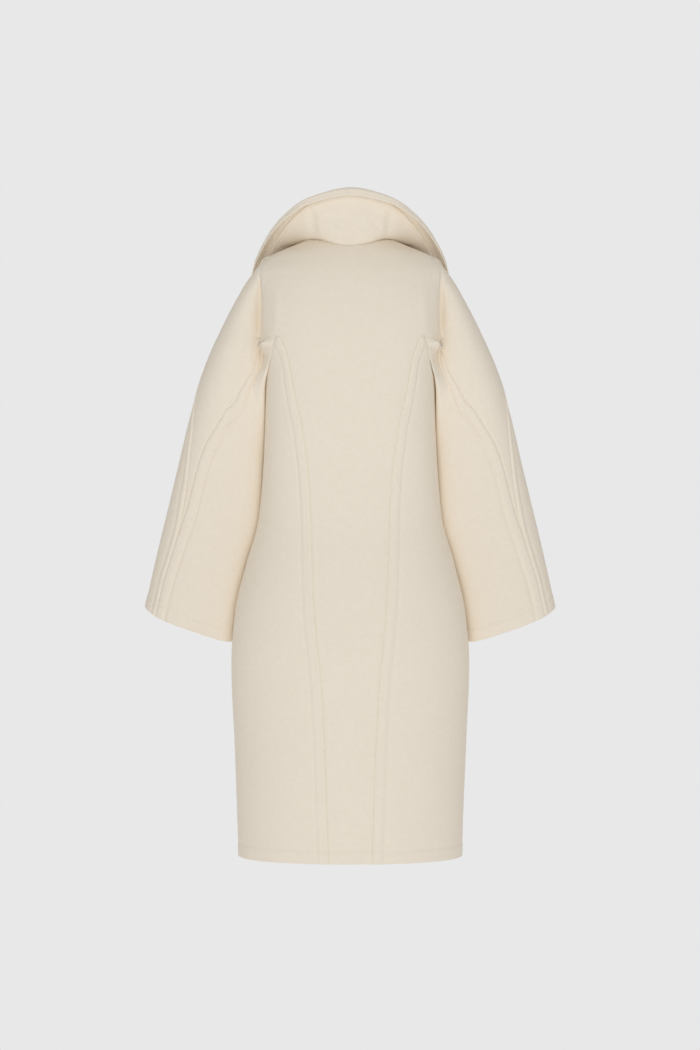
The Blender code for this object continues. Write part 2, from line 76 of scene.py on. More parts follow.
# Line of the drape fold on the back: place at a height, lean, and how the mesh's columns gather at it
FOLD_X = 0.149
FOLD_Z = -0.100
FOLD_LEAN = 0.022
FOLD_GATHER = 0.75
FOLD_REACH = 0.016
# Share of the way up over which the columns gather
FOLD_GATHER_CLIMB = 0.125
SEAM_EASE = 0.4
ARMHOLE_EASE = 0.34
ARMHOLE_FADE = 1.5
NOTCH_EASE = 0.07
# Share of the sleeve's half width for each degree past the drape fold
PLATE_STEP = 0.012
WELT_EASE = 0.16
TIP_SHARE = 0.735
TIP_Z = -0.498
TIP_RUN = 0.075
BELOW_TIP_SHARE = 0.745
# The left front steps in under the right one: how far, where from, over what run, below what height
UNDERLAP_STEP = 0.0034
UNDERLAP_FROM = 0.068
UNDERLAP_RUN = 0.033
UNDERLAP_TOP = -0.225
UNDERLAP_TOP_RUN = 0.040
COLLAR_LAYERS_APART = 0.0056
COLLAR_SINK = 0.0012
LAPEL_FROM = 0.09
LAPEL_RUN = 0.05
LAPEL_END_X = 0.004
GORGE_LENGTH = 0.164
FACING_SHARE = 0.14
ROLL_FALL = 0.013
ROLL_REACH = 0.009
ROLL_CREST = 0.0016
# Middle of the roll's turn, as shares of its reach and fall
ROLL_TURN = (0.72, 0.27)
# How the collar's bow leans to the neck edge, and how much the lapel's start is lifted
BOW_SKEW = 0.8
LAPEL_LIFT = 0.7

# Body: height, half width, depth of the back and of the front from the middle, roundness
BODY = (
    (0.000, 0.052, 0.042, 0.036, 2.3),
    (-0.015, 0.088, 0.059, 0.046, 2.3),
    (-0.038, 0.138, 0.076, 0.063, 2.3),
    (-0.066, 0.1625, 0.091, 0.080, 2.5),
    (-0.100, 0.157, 0.103, 0.098, 2.9),
    (-0.140, 0.152, 0.111, 0.113, 3.2),
    (-0.177, 0.149, 0.115, 0.122, 3.2),
    (-0.225, 0.1415, 0.116, 0.127, 3.2),
    (-0.296, 0.1405, 0.113, 0.123, 3.1),
    (-0.395, 0.1447, 0.107, 0.114, 2.8),
    (-0.466, 0.151, 0.108, 0.115, 2.5),
    (-0.540, 0.1715, 0.116, 0.121, 2.3),
    (-0.619, 0.190, 0.124, 0.126, 2.3),
    (-0.690, 0.1955, 0.129, 0.128, 2.3),
    (-0.838, 0.191, 0.131, 0.128, 2.3),
    (-1.020, 0.184, 0.130, 0.127, 2.3),
)

# Sleeve: height, outer edge, inner edge, middle depth, half depth
SLEEVE = (
    (0.000, 0.052, 0.020, 0.000, 0.020),
    (-0.015, 0.088, 0.050, 0.000, 0.026),
    (-0.038, 0.138, 0.090, 0.000, 0.038),
    (-0.066, 0.1645, 0.112, 0.000, 0.049),
    (-0.100, 0.1845, 0.136, 0.000, 0.056),
    (-0.140, 0.206, 0.139, 0.000, 0.061),
    (-0.177, 0.223, 0.137, 0.000, 0.064),
    (-0.238, 0.247, 0.1365, -0.006, 0.065),
    (-0.307, 0.268, 0.1365, -0.020, 0.065),
    (-0.376, 0.2855, 0.1385, -0.032, 0.063),
    (-0.469, 0.308, 0.1455, -0.042, 0.060),
    (-0.538, 0.3245, 0.1660, -0.048, 0.058),
    (-0.608, 0.341, 0.1825, -0.052, 0.057),
    (-0.720, 0.367, 0.1960, -0.058, 0.056),
)

# Cuff plane: a point in it, and its fall for each metre outwards and to the back
CUFF_POINT = (0.270, -0.052, -0.634)
CUFF_SLOPE = (0.345, -0.28)

# Seam between the back panel and the side panel: height, distance from the middle
PRINCESS_SEAM = (
    (-0.172, 0.120),
    (-0.1745, 0.1155),
    (-0.181, 0.1117),
    (-0.192, 0.1069),
    (-0.208, 0.1019),
    (-0.242, 0.096),
    (-0.281, 0.088),
    (-0.312, 0.080),
    (-0.343, 0.0755),
    (-0.378, 0.0705),
    (-0.421, 0.0667),
    (-0.468, 0.0644),
    (-0.591, 0.060),
    (-0.655, 0.055),
    (-0.713, 0.0485),
    (-0.859, 0.0406),
    (-1.020, 0.035),
)

# The same seam on the front
FRONT_SEAM = (
    (-0.172, 0.120),
    (-0.1745, 0.1155),
    (-0.182, 0.112),
    (-0.194, 0.109),
    (-0.212, 0.106),
    (-0.242, 0.102),
    (-0.300, 0.093),
    (-0.420, 0.082),
    (-0.600, 0.083),
    (-0.800, 0.087),
    (-1.020, 0.089),
)

# Seam between the upper sleeve and the under sleeve: height, angle round the sleeve in degrees
WELT_SEAM = (
    (-0.172, 214.5),
    (-0.1727, 202.3),
    (-0.1773, 180.0),
    (-0.1867, 141.0),
    (-0.2017, 133.0),
    (-0.221, 122.7),
    (-0.2403, 105.6),
    (-0.2584, 95.5),
    (-0.288, 89.0),
    (-0.3196, 78.2),
    (-0.3475, 67.8),
    (-0.391, 61.5),
    (-0.469, 59.0),
    (-0.720, 60.0),
)

# Seam along the top of the sleeve: height, angle towards the back
OVERARM_SEAM = (
    (-0.177, 0.0),
    (-0.240, 8.0),
    (-0.298, 30.0),
    (-0.331, 39.0),
    (-0.373, 45.0),
    (-0.415, 50.0),
    (-0.491, 53.0),
    (-0.535, 51.0),
    (-0.568, 48.0),
    (-0.720, 47.0),
)

# Front edge: height, distance of the edge past the middle line towards its own side
FRONT_EDGE = (
    (0.000, 0.052),
    (-0.035, 0.058),
    (-0.090, 0.054),
    (-0.160, 0.040),
    (-0.215, 0.024),
    (-0.255, 0.010),
    (-0.285, -0.012),
    (-0.310, -0.027),
    (-0.330, -0.030),
    (-1.020, -0.030),
)

# Under collar and lapel: length along the neck edge from the centre back, then the rim
COLLAR_RIM = (
    (-0.040, -0.058, 0.082, 0.046),
    (0.000, 0.000, 0.094, 0.060),
    (0.040, 0.058, 0.082, 0.046),
    (0.075, 0.093, 0.050, 0.024),
    (0.105, 0.117, 0.008, -0.002),
    (0.150, 0.138, -0.044, -0.037),
    (0.200, 0.147, -0.082, -0.080),
    (0.250, 0.142, -0.106, -0.130),
    (0.310, 0.115, -0.134, -0.190),
    (0.350, 0.078, -0.147, -0.228),
    (0.385, 0.036, -0.141, -0.250),
    (0.410, 0.0165, -0.1325, -0.2575),
    (0.426, 0.0085, -0.1285, -0.2635),
)

# Upper collar and facing: the same length, the top of the roll, and the roll's share of its full size
ROLL_RIM = (
    (-0.040, -0.066, 0.088, 0.053, 1.0),
    (0.000, 0.000, 0.097, 0.0675, 1.0),
    (0.040, 0.066, 0.088, 0.053, 1.0),
    (0.075, 0.103, 0.056, 0.031, 1.0),
    (0.105, 0.130, 0.010, 0.003, 1.0),
    (0.150, 0.154, -0.042, -0.040, 1.0),
    (0.200, 0.163, -0.083, -0.086, 1.0),
    (0.250, 0.157, -0.112, -0.140, 1.0),
    (0.310, 0.127, -0.142, -0.202, 0.9),
    (0.350, 0.087, -0.155, -0.240, 0.7),
    (0.385, 0.041, -0.148, -0.261, 0.45),
    (0.410, 0.0185, -0.1375, -0.2655, 0.3),
    (0.426, 0.0095, -0.1315, -0.2660, 0.1),
)

# How far the collar bows away from shoulder and chest: length along the neck edge, up, forwards
COLLAR_BOW = (
    (0.000, 0.000, 0.000),
    (0.045, -0.005, -0.004),
    (0.075, -0.012, 0.000),
    (0.105, -0.008, 0.000),
    (0.150, 0.004, 0.008),
    (0.220, 0.004, 0.014),
    (0.410, 0.000, 0.006),
)

# Distances from a seam, a stitched seam and a hem at which the mesh has a line of points
SEAM_STEPS = (0.0, 0.0006, 0.0014, 0.0026, 0.0045, 0.008, 0.013)
WELT_STEPS = (0.0, 0.0006, 0.0014, 0.0026, 0.0045, 0.008, 0.012, 0.0148, 0.0165, 0.018, 0.0195,
              0.0212, 0.024, 0.029, 0.036)
HEM_STEPS = (0.0, 0.0008, 0.002, 0.004, 0.007, 0.011, 0.015, 0.0178, 0.0195, 0.021, 0.0225, 0.0242,
             0.027, 0.032)
NOTCH_STEPS = (0.0, 0.0012, 0.0026, 0.0042, 0.0062, 0.0086, 0.0115, 0.015, 0.0195, 0.025)
WELT_COLUMN = WELT_STEPS.index(0.018)
HEM_ROW = HEM_STEPS.index(0.021)
# Columns and row that carry a line of stitches
WELT_LINES = (WELT_COLUMN, -1 - WELT_COLUMN)
HEM_LINE = (-1 - HEM_ROW,)

# Half widths of the dimples along stitching, and runs over which a welt and a hem fall off
STITCH_DIMPLE = 0.0026
TIGHT_DIMPLE = 0.0022
EDGE_DIMPLE = 0.0014
WELT_FALL = 0.0012
HEM_FALL = 0.0016
# Run below a sewn-on top edge over which the other edges' relief starts
TOP_RUN = 0.004
# Share of a sewn-on top edge's relief, and how far from the ends it starts, in welt widths
TOP_SHARE = 0.4
TOP_FROM = 0.7
# Crest and half width of the overarm ridge, as shares of its width
RIDGE_CREST = 0.35
RIDGE_HALF = 0.42
SLEEVE_WELT_LIFT = 1.2
EDGE_SHARE = 0.6
# How a crease's depth fades to its ends
CREASE_FADE = 0.6
UNEVENNESS = 0.0003

# Points closer than this are one point of the mesh
WELD_DISTANCE = 0.00006
NEIGHBOURS = [(0, 0, 0)] + [(x, y, z) for x in (-1, 0, 1) for y in (-1, 0, 1) for z in (-1, 0, 1)
                            if (x, y, z) != (0, 0, 0)]

CENTRE_COLUMNS = 26
WING_COLUMNS = 52
# Steps along a rough curve, and rounds in which a point finds its place above the cuff
CURVE_STEPS = 48
CUFF_ROUNDS = 6
SIDE_PITCH = 0.009
SIDE_WIDTH = 0.30
ROW_PITCH = 0.008
UPPER_PITCH = 0.0045
STATION_PITCH = 0.0015
SLEEVE_LENGTH = 0.46
# Rows this close to the sleeve's tip give way to the rows at the tip, as a share of the length
TIP_CLEAR = 0.015
# Points just inside an edge, as shares of the half width
INSIDE = 0.9999
RING_INSIDE = 0.97
# Rounding of a wall's rim, and how much of the relief shows inside, as shares
RIM_ROUND = 0.3
INSIDE_LIFT = 0.5
COLLAR_COLUMNS = 24
ROLL_SPLITS = 6

# Creases: from x, z to x, z as seen from the back or front, half width, depth (ridges are negative),
# side (1 back, -1 front), and on which pieces
CREASES = (
    (0.040, 0.022, 0.000, 0.015, 0.006, 0.0030, 1, "collar"),
    (0.030, 0.012, 0.008, 0.006, 0.004, 0.0016, 1, "collar"),
    (-0.036, 0.014, -0.052, 0.000, 0.005, 0.0026, 1, "collar"),
    (-0.018, 0.052, -0.021, -0.012, 0.009, -0.0026, 1, "collar"),
    (0.066, 0.040, 0.058, -0.010, 0.007, 0.0032, 1, "collar"),
    (-0.068, 0.040, -0.060, -0.012, 0.007, 0.0028, 1, "collar"),
    (0.142, -0.022, 0.154, -0.030, 0.003, 0.0014, 1, "roll"),
    (-0.140, -0.016, -0.151, -0.025, 0.003, 0.0012, 1, "roll"),
    (0.1499, -0.064, 0.1477, -0.164, 0.0023, 0.0085, 1, "back"),
    (-0.1499, -0.062, -0.1477, -0.162, 0.0024, 0.0080, 1, "back"),
    (0.119, -0.098, 0.1205, -0.168, 0.007, -0.0018, 1, "back"),
    (-0.119, -0.096, -0.1205, -0.168, 0.007, -0.0019, 1, "back"),
    (0.143, -0.187, 0.153, -0.200, 0.0040, 0.0011, 1, "sleeve"),
    (-0.144, -0.189, -0.155, -0.201, 0.0038, 0.0010, 1, "sleeve"),
    (0.150, -0.050, 0.146, -0.150, 0.0060, 0.0024, -1, "front"),
    (-0.150, -0.048, -0.146, -0.156, 0.0055, 0.0026, -1, "front"),
    (0.168, -0.352, 0.226, -0.380, 0.016, 0.0030, -1, "front"),
    (0.176, -0.398, 0.252, -0.410, 0.013, 0.0024, -1, "front"),
    (-0.166, -0.360, -0.219, -0.377, 0.014, 0.0028, -1, "front"),
    (-0.180, -0.405, -0.262, -0.424, 0.017, 0.0025, -1, "front"),
    (0.022, -0.452, 0.086, -0.436, 0.014, 0.0020, -1, "front"),
    (-0.024, -0.340, -0.090, -0.312, 0.015, 0.0022, -1, "front"),
    (-0.030, -0.566, -0.070, -0.560, 0.012, 0.0014, -1, "front"),
)


def table(rows, z, column=1):
    """Smooth value of a column at height z (first column, in falling order)."""
    if z >= rows[0][0]:
        return rows[0][column]
    if z <= rows[-1][0]:
        return rows[-1][column]
    last = len(rows) - 1
    k = next(i for i in range(last) if rows[i + 1][0] <= z)
    span = rows[k + 1][0] - rows[k][0]
    t = (z - rows[k][0]) / span
    rise = rows[k + 1][column] - rows[k][column]

    def slope(i):
        if i == 0 or i == last:
            near = 0 if i == 0 else last - 1
            return (rows[near + 1][column] - rows[near][column]) / (rows[near + 1][0] - rows[near][0])
        before = (rows[i][column] - rows[i - 1][column]) / (rows[i][0] - rows[i - 1][0])
        after = (rows[i + 1][column] - rows[i][column]) / (rows[i + 1][0] - rows[i][0])
        if before * after <= 0:
            return 0.0
        return 2 * before * after / (before + after)

    m0 = slope(k) * span
    m1 = slope(k + 1) * span
    return (rows[k][column] + m0 * t + (3 * rise - 2 * m0 - m1) * t * t
            + (m0 + m1 - 2 * rise) * t * t * t)


def by_length(rows, s, column):
    """Value of a column of a table that is keyed by length along the neck edge."""
    return table([(-row[0],) + row[1:] for row in rows], -s, column)


def mix(a, b, t):
    return a + (b - a) * t


def ramp(way, run):
    """Share of a run that is covered, from 0 to 1."""
    return min(max(way / run, 0.0), 1.0)


def ease(t):
    return t * t * (3 - 2 * t)


# Form of body and sleeve


def soft_max(a, b):
    """The larger of two depths, with a soft fold where they cross."""
    h = max(FOLD_SOFTNESS - abs(a - b), 0.0) / FOLD_SOFTNESS
    return max(a, b) + h * h * FOLD_SOFTNESS * 0.25


def arch(x, half_width, depth, roundness):
    """Depth of a rounded section at distance x from its middle."""
    t = abs(x) / half_width
    if t >= 1.0:
        return -(t - 1.0) * depth
    return depth * (1.0 - t ** roundness) ** (1.0 / roundness)


def body_section(z, side):
    """Half width, depth and roundness of the body, side is 1 for the back and -1 for the front."""
    roundness = table(BODY, z, 4)
    if side > 0:
        return table(BODY, z, 1), table(BODY, z, 2), roundness
    return table(BODY, z, 1), table(BODY, z, 3), min(roundness, FRONT_ROUNDNESS)


def body_depth(x, z, side):
    """Depth of the body alone."""
    return arch(x, *body_section(z, side))


def sleeve_section(z):
    outer, inner = table(SLEEVE, z, 1), table(SLEEVE, z, 2)
    return (outer + inner) / 2, (outer - inner) / 2, table(SLEEVE, z, 3), table(SLEEVE, z, 4)


def inner_roundness(z):
    return mix(SLEEVE_ROUNDNESS, INNER_ROUNDNESS, ramp(INNER_FROM - z, INNER_RUN))


def coat_depth(x, z, side):
    """Depth of body and sleeve together, with the drape fold between them."""
    middle, half, depth_middle, half_depth = sleeve_section(z)
    roundness = SLEEVE_ROUNDNESS if x >= middle else inner_roundness(z)
    bump = arch(x - middle, half, half_depth, roundness) + side * depth_middle
    return soft_max(body_depth(x, z, side), bump)


def body_point(x, z, side):
    return Vector((x, side * coat_depth(abs(x), z, side), z))


def front_point(x, z, left):
    """Point of the front; the left front steps in under the right one."""
    point = body_point(x, z, -1)
    if left:
        below = ramp(UNDERLAP_TOP - z, UNDERLAP_TOP_RUN)
        point.y += UNDERLAP_STEP * ease(ramp(UNDERLAP_FROM - x, UNDERLAP_RUN)) * below
    return point


def sleeve_point(angle, z, with_body=True):
    """Point of the sleeve at an angle in degrees from its outer edge, back is 90.

    Past 180 the point lies beyond the drape fold, on the edge of the body's back or front."""
    middle, half, depth_middle, half_depth = sleeve_section(z)
    c, s = math.cos(math.radians(angle)), math.sin(math.radians(angle))
    power = 2.0 / (SLEEVE_ROUNDNESS if c >= 0 else inner_roundness(z))
    if with_body and abs(angle) > 180.0:
        x = middle - half * (1.0 + (abs(angle) - 180.0) * PLATE_STEP)
        side = 1 if angle > 0 else -1
        return Vector((x, side * coat_depth(x, z, side), z))
    x = middle + half * math.copysign(abs(c) ** power, c)
    y = depth_middle + half_depth * math.copysign(abs(s) ** power, s)
    side = 1 if angle >= 0 else -1
    if with_body and z > ARMPIT_Z and c < 0:
        y = side * soft_max(side * y, body_depth(x, z, side))
    return Vector((x, y, z))


def cuff_height(point):
    return (CUFF_POINT[2] + CUFF_SLOPE[0] * (point.x - CUFF_POINT[0])
            + CUFF_SLOPE[1] * (point.y - CUFF_POINT[1]))


def sleeve_row_point(angle_at, top_z, row, with_body=True):
    """Point at a share row of the way from top_z to the cuff, along a seam or column."""
    z = top_z + row * (CUFF_POINT[2] - top_z)
    for _ in range(CUFF_ROUNDS):
        point = sleeve_point(angle_at(z), z, with_body)
        z = top_z + row * (cuff_height(point) - top_z)
    return sleeve_point(angle_at(z), z, with_body)


def welt_angle(z):
    """Angle of the back welt, which runs out into the overarm seam at the sleeve's tip."""
    over = table(OVERARM_SEAM, z)
    left = ramp(z - TIP_Z, TIP_RUN)
    return over + max(table(WELT_SEAM, z) - over, 0.0) * left * (2.0 - left)


def overarm_angle(z):
    return table(OVERARM_SEAM, z)


def front_welt_angle(z):
    return -table(WELT_SEAM, z)


def ring_angle(x, z, side):
    """Angle round the body of a point at distance x from the middle, back is positive."""
    half, depth, roundness = body_section(z, side)
    power = roundness / 2
    x = min(x, half * RING_INSIDE)
    return side * math.atan2((body_depth(x, z, side) / depth) ** power, (x / half) ** power)


def ring_point(angle, z):
    """Point of the body at an angle round it."""
    half, depth, roundness = body_section(z, 1 if angle >= 0 else -1)
    power = 2.0 / roundness
    y = math.copysign(depth * abs(math.sin(angle)) ** power, angle)
    return Vector((half * math.cos(angle) ** power, y, z))


# Lines of points in the mesh


def body_rows():
    """Heights from the notch to the hem, closer together at both ends."""
    first, last = NOTCH_Z - NOTCH_STEPS[-1], HEM_Z + HEM_STEPS[-1]
    count = round((first - last) / ROW_PITCH)
    even = [mix(first, last, k / count) for k in range(1, count)]
    return ([NOTCH_Z - step for step in NOTCH_STEPS] + even
            + [HEM_Z + step for step in reversed(HEM_STEPS)])


def sleeve_rows():
    """Shares of the way from the notch to the cuff."""
    first, last = NOTCH_STEPS[-1] / SLEEVE_LENGTH, 1.0 - HEM_STEPS[-1] / SLEEVE_LENGTH
    count = round((last - first) * SLEEVE_LENGTH / ROW_PITCH)
    even = [mix(first, last, k / count) for k in range(1, count)]
    even = [row for row in even if abs(row - TIP_SHARE) > TIP_CLEAR] + [TIP_SHARE, BELOW_TIP_SHARE]
    return ([step / SLEEVE_LENGTH for step in NOTCH_STEPS] + sorted(even)
            + [1.0 - step / SLEEVE_LENGTH for step in reversed(HEM_STEPS)])


def upper_rows():
    """Heights from the notch up to the neck point."""
    count = round((NECK_Z - NOTCH_Z - NOTCH_STEPS[-1]) / UPPER_PITCH)
    first = NOTCH_Z + NOTCH_STEPS[-1]
    even = [mix(first, NECK_Z, k / count) for k in range(1, count + 1)]
    return [NOTCH_Z + step for step in NOTCH_STEPS] + even


def centre_columns(start, seam):
    """Distances from the middle line of the columns from start to a seam, closer near the seam."""
    near = seam - SEAM_STEPS[-1]
    even = [mix(start, near, k / CENTRE_COLUMNS) for k in range(CENTRE_COLUMNS)]
    return even + [seam - step for step in reversed(SEAM_STEPS)]


def wing_shares():
    """Shares of the way across the upper sleeve, closer near both seams."""
    return [ease(k / WING_COLUMNS) for k in range(WING_COLUMNS + 1)]


def running_lengths(points):
    """Length from the first point to each of the points."""
    lengths = [0.0]
    for a, b in zip(points, points[1:]):
        lengths.append(lengths[-1] + (b - a).length)
    return lengths


def along(curve, steps):
    """Points of a curve over 0 to 1 at the given steps from both ends and evenly between them."""
    rough = np.linspace(0.0, 1.0, CURVE_STEPS + 1)
    lengths = running_lengths([curve(float(c)) for c in rough])
    total = lengths[-1]
    inner = total - 2 * steps[-1]
    pieces = round(SIDE_WIDTH / SIDE_PITCH)
    wanted = (list(steps) + [steps[-1] + inner * k / pieces for k in range(1, pieces)]
              + [total - step for step in reversed(steps)])
    return [curve(float(c)) for c in np.interp(wanted, lengths, rough)]


# Cloth of the left half, as grids of points; the right half is mirrored


def upper_shares(bottom, climb):
    """Shares of the half width for a row above the notch, from those of the notch's own row.

    They spread out within the first third of the way up, and stay close at the shoulder line."""
    count = len(bottom) - 1
    spread = min(3.0 * climb, 1.0)
    return [mix(share, math.sin(math.pi / 2 * k / count), spread) for k, share in enumerate(bottom)]


def gather_to_fold(x, z, climb):
    """Moves a column towards the drape fold, so that the mesh can carry its crisp line."""
    off = x - FOLD_X - (z - FOLD_Z) * FOLD_LEAN
    near = FOLD_GATHER * ramp(climb, FOLD_GATHER_CLIMB)
    return x - near * off * math.exp(-(off / FOLD_REACH) ** 2)


def upper_back():
    """Back above the notch, from the middle to the shoulder line."""
    grid = []
    outer = table(SLEEVE, NOTCH_Z, 1)
    turn = welt_angle(NOTCH_Z)
    bottom = [x / outer for x in centre_columns(0.0, NOTCH_X)]
    bottom += [sleeve_point(turn * (1 - t), NOTCH_Z).x / outer for t in wing_shares()[1:-1]] + [1.0]
    rows = upper_rows()
    for z_out in rows:
        climb = (z_out - NOTCH_Z) / (rows[-1] - NOTCH_Z)
        z_middle = NOTCH_Z + climb * (-NECK_DROP - NOTCH_Z)
        half = table(SLEEVE, z_out, 1)
        row = []
        for share in upper_shares(bottom, climb):
            z = mix(z_middle, z_out, share * share)
            if share == 1.0:
                row.append(Vector((half, 0.0, z)))
                continue
            x = gather_to_fold(half * share, z, climb)
            depth = coat_depth(min(x, table(SLEEVE, z, 1) * INSIDE), z, 1)
            row.append(Vector((x, max(depth, 0.0), z)))
        grid.append(row)
    return grid


def lower_back():
    """Back from the notch to the hem, middle line to princess seam."""
    return [[body_point(x, z, 1) for x in centre_columns(0.0, table(PRINCESS_SEAM, z))]
            for z in body_rows()]


def wing(edge_angle, rows):
    """Upper sleeve between the welt seam at edge_angle and the overarm seam."""
    return [[sleeve_row_point(lambda z, t=t: mix(edge_angle(z), overarm_angle(z), t), NOTCH_Z, row)
             for t in wing_shares()] for row in rows]


def back_wing():
    """Back of the upper sleeve, from the notch to its tip."""
    grid = wing(welt_angle, [row for row in sleeve_rows() if row <= TIP_SHARE])
    grid[0] = upper_back()[0][-WING_COLUMNS - 1:]
    return grid


def front_wing():
    """Front and top of the sleeve, from the notch to the cuff."""
    grid = wing(front_welt_angle, sleeve_rows())
    grid[0][0] = body_point(NOTCH_X, NOTCH_Z, -1)
    return grid


def upper_front(left):
    """Front above the notch, from the roll line to the shoulder line."""
    grid = []
    outer = table(SLEEVE, NOTCH_Z, 1)
    start = table(FRONT_EDGE, NOTCH_Z)
    bottom = ([front_point(x, NOTCH_Z, left) for x in centre_columns(start, NOTCH_X)[:-1]]
              + front_wing()[0])
    shares = [(point.x - start) / (outer - start) for point in bottom]
    shares[-1] = 1.0
    for z in upper_rows():
        half = table(SLEEVE, z, 1)
        edge = table(FRONT_EDGE, z)
        row = []
        for share in upper_shares(shares, (z - NOTCH_Z) / (NECK_Z - NOTCH_Z)):
            x = mix(edge, half, share)
            y = 0.0 if share == 1.0 else -max(coat_depth(min(x, half * INSIDE), z, -1), 0.0)
            row.append(Vector((x, y, z)))
        grid.append(row)
    grid[0] = bottom
    return grid


def lower_front(left):
    """Front from the notch to the hem, front edge to its princess seam."""
    return [[front_point(x, z, left) for x in centre_columns(table(FRONT_EDGE, z), table(FRONT_SEAM, z))]
            for z in body_rows()]


def side_point(c, z_seam):
    """Point of the side panel, c is 0 at the back seam and 1 at the front one."""
    start = ring_angle(table(PRINCESS_SEAM, z_seam), z_seam, 1)
    end = ring_angle(table(FRONT_SEAM, z_seam), z_seam, -1)
    top = ARMPIT_Z + (NOTCH_Z - ARMPIT_Z) * abs(2 * c - 1) ** ARMHOLE_POWER
    share = (z_seam - NOTCH_Z) / (HEM_Z - NOTCH_Z)
    point = ring_point(mix(start, end, c), top + share * (HEM_Z - top))
    back = body_point(table(PRINCESS_SEAM, z_seam), z_seam, 1) - ring_point(start, z_seam)
    front = front_point(table(FRONT_SEAM, z_seam), z_seam, False) - ring_point(end, z_seam)
    point += back * max(1.0 - c / SEAM_EASE, 0.0) ** 2
    point += front * max(1.0 - (1.0 - c) / SEAM_EASE, 0.0) ** 2
    return point


def side_panel():
    return [along(functools.partial(side_point, z_seam=z), WELT_STEPS) for z in body_rows()]


def under_free(c, row):
    """Point of the under sleeve before it is drawn to its seams, c is 0 at the back and 1 at the front."""

    def angle_at(z):
        start = welt_angle(z) if row <= TIP_SHARE else overarm_angle(z)
        return mix(start, 360.0 + front_welt_angle(z), c)

    return sleeve_row_point(angle_at, side_point(c, NOTCH_Z).z, row, False)


def under_point(c, row, corners, seams):
    """Point of the under sleeve, drawn to the armhole, to the back welt and to the front welt."""
    near = [max(1.0 - share / WELT_EASE, 0.0) ** 2 for share in (c, 1.0 - c)]
    point = under_free(c, row)
    for weight, seam in zip(near, seams):
        point += seam * weight
    inwards = (4.0 * c * (1.0 - c)) ** ARMHOLE_FADE
    ease = max(1.0 - row / mix(NOTCH_EASE, ARMHOLE_EASE, inwards), 0.0) ** 2
    if ease > 0.0:
        gap = side_point(c, NOTCH_Z) - under_free(c, 0.0)
        for weight, corner in zip(near, corners):
            gap -= corner * weight
        point += gap * ease
    return point


def under_sleeve():
    """Under side of the sleeve, joined to the side panel below the arm."""
    back, front = back_wing(), front_wing()
    corners = [side_point(c, NOTCH_Z) - under_free(c, 0.0) for c in (0.0, 1.0)]
    grid = []
    for k, row in enumerate(sleeve_rows()):
        edges = back[k][0] if k < len(back) else front[k][-1], front[k][0]
        seams = [edge - under_free(c, row) for edge, c in zip(edges, (0.0, 1.0))]
        line = functools.partial(under_point, row=row, corners=corners, seams=seams)
        grid.append(along(line, WELT_STEPS))
    return grid


# Collar, made along the neck edge of back and fronts


def neck_stations():
    """Points along the neck edge from the centre back to the end of the lapel, and lengths."""
    front = upper_front(False)
    stations = upper_back()[-1] + front[-1][-2::-1]
    stations += [row[0] for row in front[-2::-1]]
    stations += [row[0] for row in lower_front(False)[1:] if row[0].x > LAPEL_END_X]
    kept = [stations[0]]
    for point in stations[1:]:
        if (point - kept[-1]).length > STATION_PITCH:
            kept.append(point)
    return kept, running_lengths(kept)


def under_collar_grid(shares):
    """Under collar and lapel of one side: a section at each station of the neck edge."""
    grid = []
    for base, s in zip(*neck_stations()):
        rim = Vector(tuple(by_length(COLLAR_RIM, s, column) for column in (1, 2, 3)))
        bow = Vector((0.0, -by_length(COLLAR_BOW, s, 2), by_length(COLLAR_BOW, s, 1)))
        lapel = ramp(s - LAPEL_FROM, LAPEL_RUN)
        start = base - Vector((0.0, -lapel, 1.0 - LAPEL_LIFT * lapel)) * COLLAR_SINK
        grid.append([mix(start, rim, share) + bow * math.sin(math.pi * share ** BOW_SKEW)
                     for share in shares])
    return grid


def grid_normals(grid):
    """Normals of the half collar, on the side that faces away from the neck."""
    normals = []
    last = len(grid) - 1
    for k, line in enumerate(grid):
        row = []
        for t in range(len(line)):
            before = grid[k - 1][t] if k else Vector((-grid[1][t].x, grid[1][t].y, grid[1][t].z))
            after = grid[min(k + 1, last)][t]
            up = line[min(t + 1, len(line) - 1)] - line[max(t - 1, 0)]
            row.append((after - before).cross(up).normalized())
        normals.append(row)
    sign = 1 if normals[0][len(grid[0]) // 2].y > 0 else -1
    return [[n * sign for n in row] for row in normals]


def smooth_line(points, splits):
    """Points on a smooth curve through the given ones."""
    ends = [2 * points[0] - points[1]] + list(points) + [2 * points[-1] - points[-2]]
    line = [points[0]]
    for a, b, c, d in zip(ends, ends[1:], ends[2:], ends[3:]):
        for k in range(1, splits + 1):
            t = k / splits
            line.append(0.5 * (2 * b + (c - a) * t + (2 * a - 5 * b + 4 * c - d) * t * t
                               + (3 * b - a - 3 * c + d) * t ** 3))
    return line


def upper_collar_grid():
    """Upper collar and facing: it lies inside the under collar and rolls out over its rim."""
    count = COLLAR_COLUMNS
    shares = [mix(FACING_SHARE, 1.0, k / count) for k in range(count + 1)]
    under = under_collar_grid(shares)
    lengths = neck_stations()[1]
    grid = []
    for line, row, s in zip(under, grid_normals(under), lengths):
        made = [p - n * COLLAR_LAYERS_APART for p, n in zip(line, row)]
        roll = Vector(tuple(by_length(ROLL_RIM, s, column) for column in (1, 2, 3)))
        size = by_length(ROLL_RIM, s, 4)
        out = Vector((roll.x, roll.y, 0.0)).normalized() * ROLL_REACH * size
        down = Vector((0.0, 0.0, -ROLL_FALL * size))
        turn = [made[-4], made[-1], mix(made[-1], roll, 0.5) + Vector((0.0, 0.0, ROLL_CREST * size)), roll,
                roll + out * ROLL_TURN[0] + down * ROLL_TURN[1], roll + out + down]
        grid.append(made[:-4] + smooth_line(turn, ROLL_SPLITS))
    return grid


# Relief: how far the cloth stands out or in, by distance from an edge


def bell(d, width):
    return np.exp(-(d / width) ** 2)


